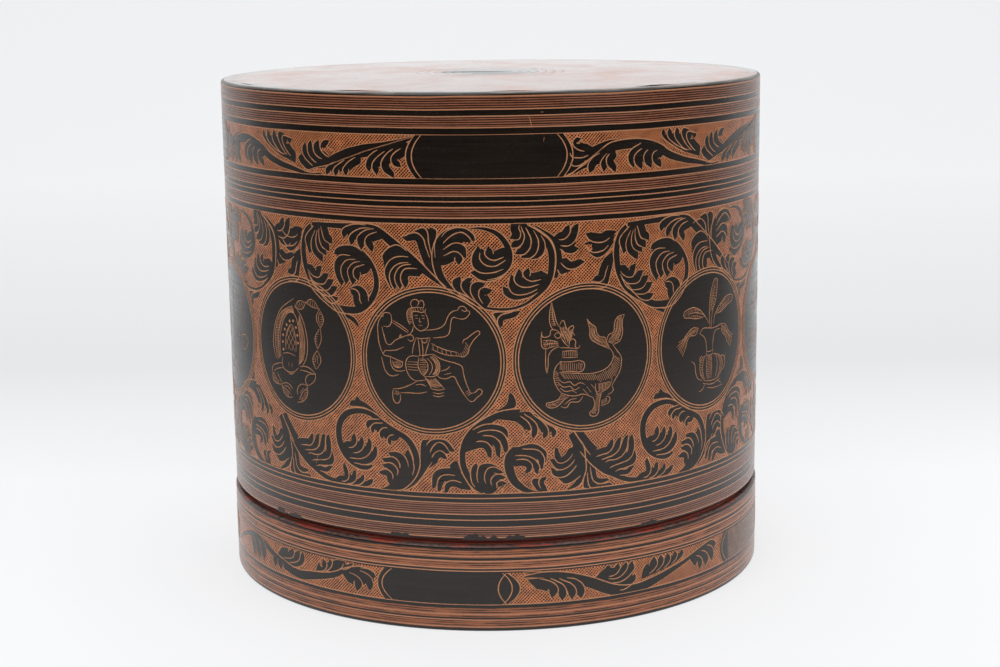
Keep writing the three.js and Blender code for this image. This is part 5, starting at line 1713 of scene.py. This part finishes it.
def engrave_roundels(work):
    paths = []
    for i, name in enumerate(ROUNDEL_FIGURES):
        x = ROUNDEL_FIRST + i * ROUNDEL_PITCH
        work.patch(circle(x, ROUNDEL_HEIGHT, ROUNDEL_RADIUS, ROUNDEL_STEPS))
        for radius, width in ROUNDEL_LINES:
            paths.append((circle(x, ROUNDEL_HEIGHT, radius, ROUNDEL_KNOTS), width / 2, True))
        for line in FIGURES[name]:
            paths.append(([(x + u, ROUNDEL_HEIGHT + v) for u, v in line], FIGURE_WIDTH / 2, False))
        for first, second, count in FIGURE_RUNGS.get(name, ()):
            for line in rungs(first, second, count):
                paths.append(([(x + u, ROUNDEL_HEIGHT + v) for u, v in line], FIGURE_WIDTH / 2, False))
        if name == "scorpion":
            for u, v in FIGURE_DOTS:
                dot = circle(x + u, ROUNDEL_HEIGHT + v, DOT_RADIUS, DOT_KNOTS)
                paths.append((dot, DOT_HALF_WIDTH, True))
    work.strokes(paths)


def engrave_cover_frieze(work):
    """Four blank cartouches round the top of the cover, with scrolls between them."""
    low, high = COVER_GROUNDS[0]
    middle = (low + high) / 2
    half = (high - low) / 2
    paths = []
    for i, x in enumerate(CARTOUCHES_AT):
        lines = [arc(x + side * out, half, side * bulge, middle)
                 for out, bulge in (CARTOUCHE_END, CARTOUCHE_INNER_LINE) for side in (1, -1)]
        right, left = lines[:2]
        work.patch(smooth(left) + smooth(right)[::-1])
        for line in lines:
            paths.append((line, EDGE_WIDTH / 2, False))
        for unit in (COVER_NEAR_SCROLL, COVER_FAR_SCROLL):
            scroll(work, unit, hand_placed(x, 1.0, low, high, i))
    work.strokes(paths)


def engrave_skirt(work):
    """Blank cartouches with a pointed oval at one end, hand-spaced round the skirt."""
    low, high = SKIRT_GROUNDS[0]
    middle = (low + high) / 2
    half = (high - low) / 2
    paths = []
    for i, (start, end) in enumerate(SKIRT_CARTOUCHES):
        x = math.radians(start) * SKIRT_RADIUS
        length = math.radians(end - start) * SKIRT_RADIUS
        lines = [arc(x + out, half, bulge, middle) for out, bulge in SKIRT_FIELD_LINES]
        work.patch(smooth(lines[0]) + smooth(lines[2])[::-1])
        for line in lines:
            paths.append((line, EDGE_WIDTH / 2, False))
        if i == len(SKIRT_CARTOUCHES) - 1:
            scroll(work, SKIRT_LAST_SCROLL, hand_placed(x + length, 1.0, low, high, 0))
        else:
            stretch = (length - SKIRT_SCROLL_FROM) / SKIRT_RUN
            middle_x = x + SKIRT_SCROLL_FROM - SKIRT_SCROLL_LEAD * stretch
            scroll(work, SKIRT_SCROLL, hand_placed(middle_x, stretch, low, high, i))
    work.strokes(paths)


def wear(work):
    """Lacquer chipped off along the cover's mouth, and pale scratches."""
    for i, (degrees, length, depth) in enumerate(CHIPS):
        x = math.radians(degrees) * COVER_RADIUS
        ragged = []
        for k in range(CHIP_STEPS + 1):
            t = 2.0 * k / CHIP_STEPS - 1.0
            jag = noise.noise(Vector((t * length * 0.3, i * 5.3, 0.5)))
            rise = depth * (1.0 - t ** 4) * (0.85 + 0.9 * jag)
            ragged.append((x + t * length / 2, COVER_MOUTH + CHIP_EDGE + rise))
        foot = COVER_MOUTH + CHIP_FOOT
        work.patch(ragged + [(x + length / 2, foot), (x - length / 2, foot)])
    work.strokes([(path, SCRATCH_HALF_WIDTH, False) for path in SCRATCHES])


def engrave():
    for name, cut, radius, body in (
        ("cover_upper_scroll", engrave_upper_band, COVER_RADIUS, "cover"),
        ("cover_lower_scroll", engrave_lower_band, COVER_RADIUS, "cover"),
        ("cover_roundel", engrave_roundels, COVER_RADIUS + ROUNDEL_LIFT, "cover"),
        ("cover_frieze", engrave_cover_frieze, COVER_RADIUS, "cover"),
        ("cover_wear", wear, COVER_RADIUS + WEAR_LIFT, "cover"),
        ("skirt_frieze", engrave_skirt, SKIRT_RADIUS, "base"),
    ):
        work = Ornament()
        cut(work)
        work.wrap(radius, name, body)


def studio():
    """Pale floor that sweeps up into a backdrop, soft lamps and an even pale surround."""
    bm = bmesh.new()
    bmesh.ops.create_grid(bm, x_segments=1, y_segments=1, size=FLOOR_HALF)
    back = [edge for edge in bm.edges if all(v.co.y > FLOOR_HALF - EDGE_MARGIN for v in edge.verts)]
    bmesh.ops.translate(bm, verts=bm.verts, vec=(0.0, -FLOOR_FORWARD, 0.0))
    wall = bmesh.ops.extrude_edge_only(bm, edges=back)
    bmesh.ops.translate(bm, verts=[v for v in wall["geom"] if isinstance(v, bmesh.types.BMVert)],
                        vec=(0.0, 0.0, FLOOR_HALF))
    foot = FLOOR_HALF - FLOOR_FORWARD - EDGE_MARGIN
    corner = [edge for edge in bm.edges if all(v.co.y > foot and abs(v.co.z) < 1e-6 for v in edge.verts)]
    bmesh.ops.bevel(bm, geom=corner, offset=SWEEP_RADIUS, offset_type="OFFSET", affect="EDGES",
                    segments=SWEEP_SEGMENTS, profile=0.5, material=-1)
    mesh = bpy.data.meshes.new("floor")
    bm.to_mesh(mesh)
    bm.free()
    mesh.shade_smooth()
    floor = bpy.data.objects.new("floor", mesh)
    bpy.context.scene.collection.objects.link(floor)
    pale = Finish("pale_floor")
    seen = pale.ray("Camera")
    # Painted shade dims the backdrop the camera sees behind the box; the floor's painted pool of light is
    # what reflections and bounce light see
    distant = pale.y.ramp(*BACKDROP_DIMMING) + pale.y.ramp(*BACKDROP_LIFTING)
    front = pale.y.ramp(FLOOR_DARK_FROM, FLOOR_PALE_FROM)
    sideways = pale.x.max(-pale.x).ramp(*SIDEWAYS_FADE).max(pale.y.ramp(*BEHIND_FADE))
    near = pale.mix(front * front * sideways, FLOOR_DARK, FLOOR_PALE)
    backdrop = pale.mix(distant, (0.0, 0.0, 0.0), FLOOR_PALE)
    tone = pale.mix(seen, near, backdrop)
    pale.set(Base_Color=tone, Roughness=0.9, Specular_IOR_Level=0.0)
    glow = pale.node("ShaderNodeEmission", {}, Color=tone)
    both = pale.node("ShaderNodeMixShader", {}, seen.max(pale.ray("Glossy")) * FLOOR_GLOW,
                     Sock(pale, pale.shader.outputs[0]), glow)
    pale.feed(pale.nodes["Material Output"].inputs["Surface"], both)
    mesh.materials.append(pale.material)

    world = bpy.data.worlds.new("studio")
    bpy.context.scene.world = world
    sky = Tree(world, "Generated")
    open_sky = sky.y.ramp(*SURROUND_OPENING).max(1.0 - sky.ray("Glossy"))
    surround = sky.nodes["Background"]
    surround.inputs["Strength"].default_value = SURROUND_STRENGTH
    sky.feed(surround.inputs["Color"], sky.mix(open_sky, FLOOR_DARK, SURROUND))
    for name, place, size, energy in LAMPS:
        lamp = bpy.data.lights.new(name, "AREA")
        lamp.shape = "SQUARE"
        lamp.size = size
        lamp.energy = energy
        holder = bpy.data.objects.new(name, lamp)
        holder.location = place
        aim = Vector(LAMP_AIM) - Vector(place)
        holder.rotation_euler = aim.to_track_quat("-Z", "Y").to_euler()
        bpy.context.scene.collection.objects.link(holder)


def photo_camera():
    data = bpy.data.cameras.new("camera")
    data.lens = CAMERA_LENS
    data.sensor_width = CAMERA_SENSOR
    data.clip_end = 50.0
    camera = bpy.data.objects.new("camera", data)
    ahead = Vector((0.0, math.cos(CAMERA_PITCH), -math.sin(CAMERA_PITCH)))
    level = Vector((1.0, 0.0, 0.0))
    above = level.cross(ahead)
    c, s = math.cos(CAMERA_ROLL), math.sin(CAMERA_ROLL)
    right = c * level + s * above
    up = c * above - s * level
    turn = Matrix((right, up, -ahead)).transposed().to_4x4()
    camera.matrix_world = Matrix.Translation(Vector(CAMERA_PLACE) * MM) @ turn
    bpy.context.scene.collection.objects.link(camera)
    bpy.context.scene.camera = camera


noise.seed_set(DRIFT_SEED)
build_cover()
build_base()
build_tray("lower_tray")
build_tray("upper_tray")
engrave()
studio()
photo_camera()
bpy.context.scene.view_settings.view_transform = "Standard"
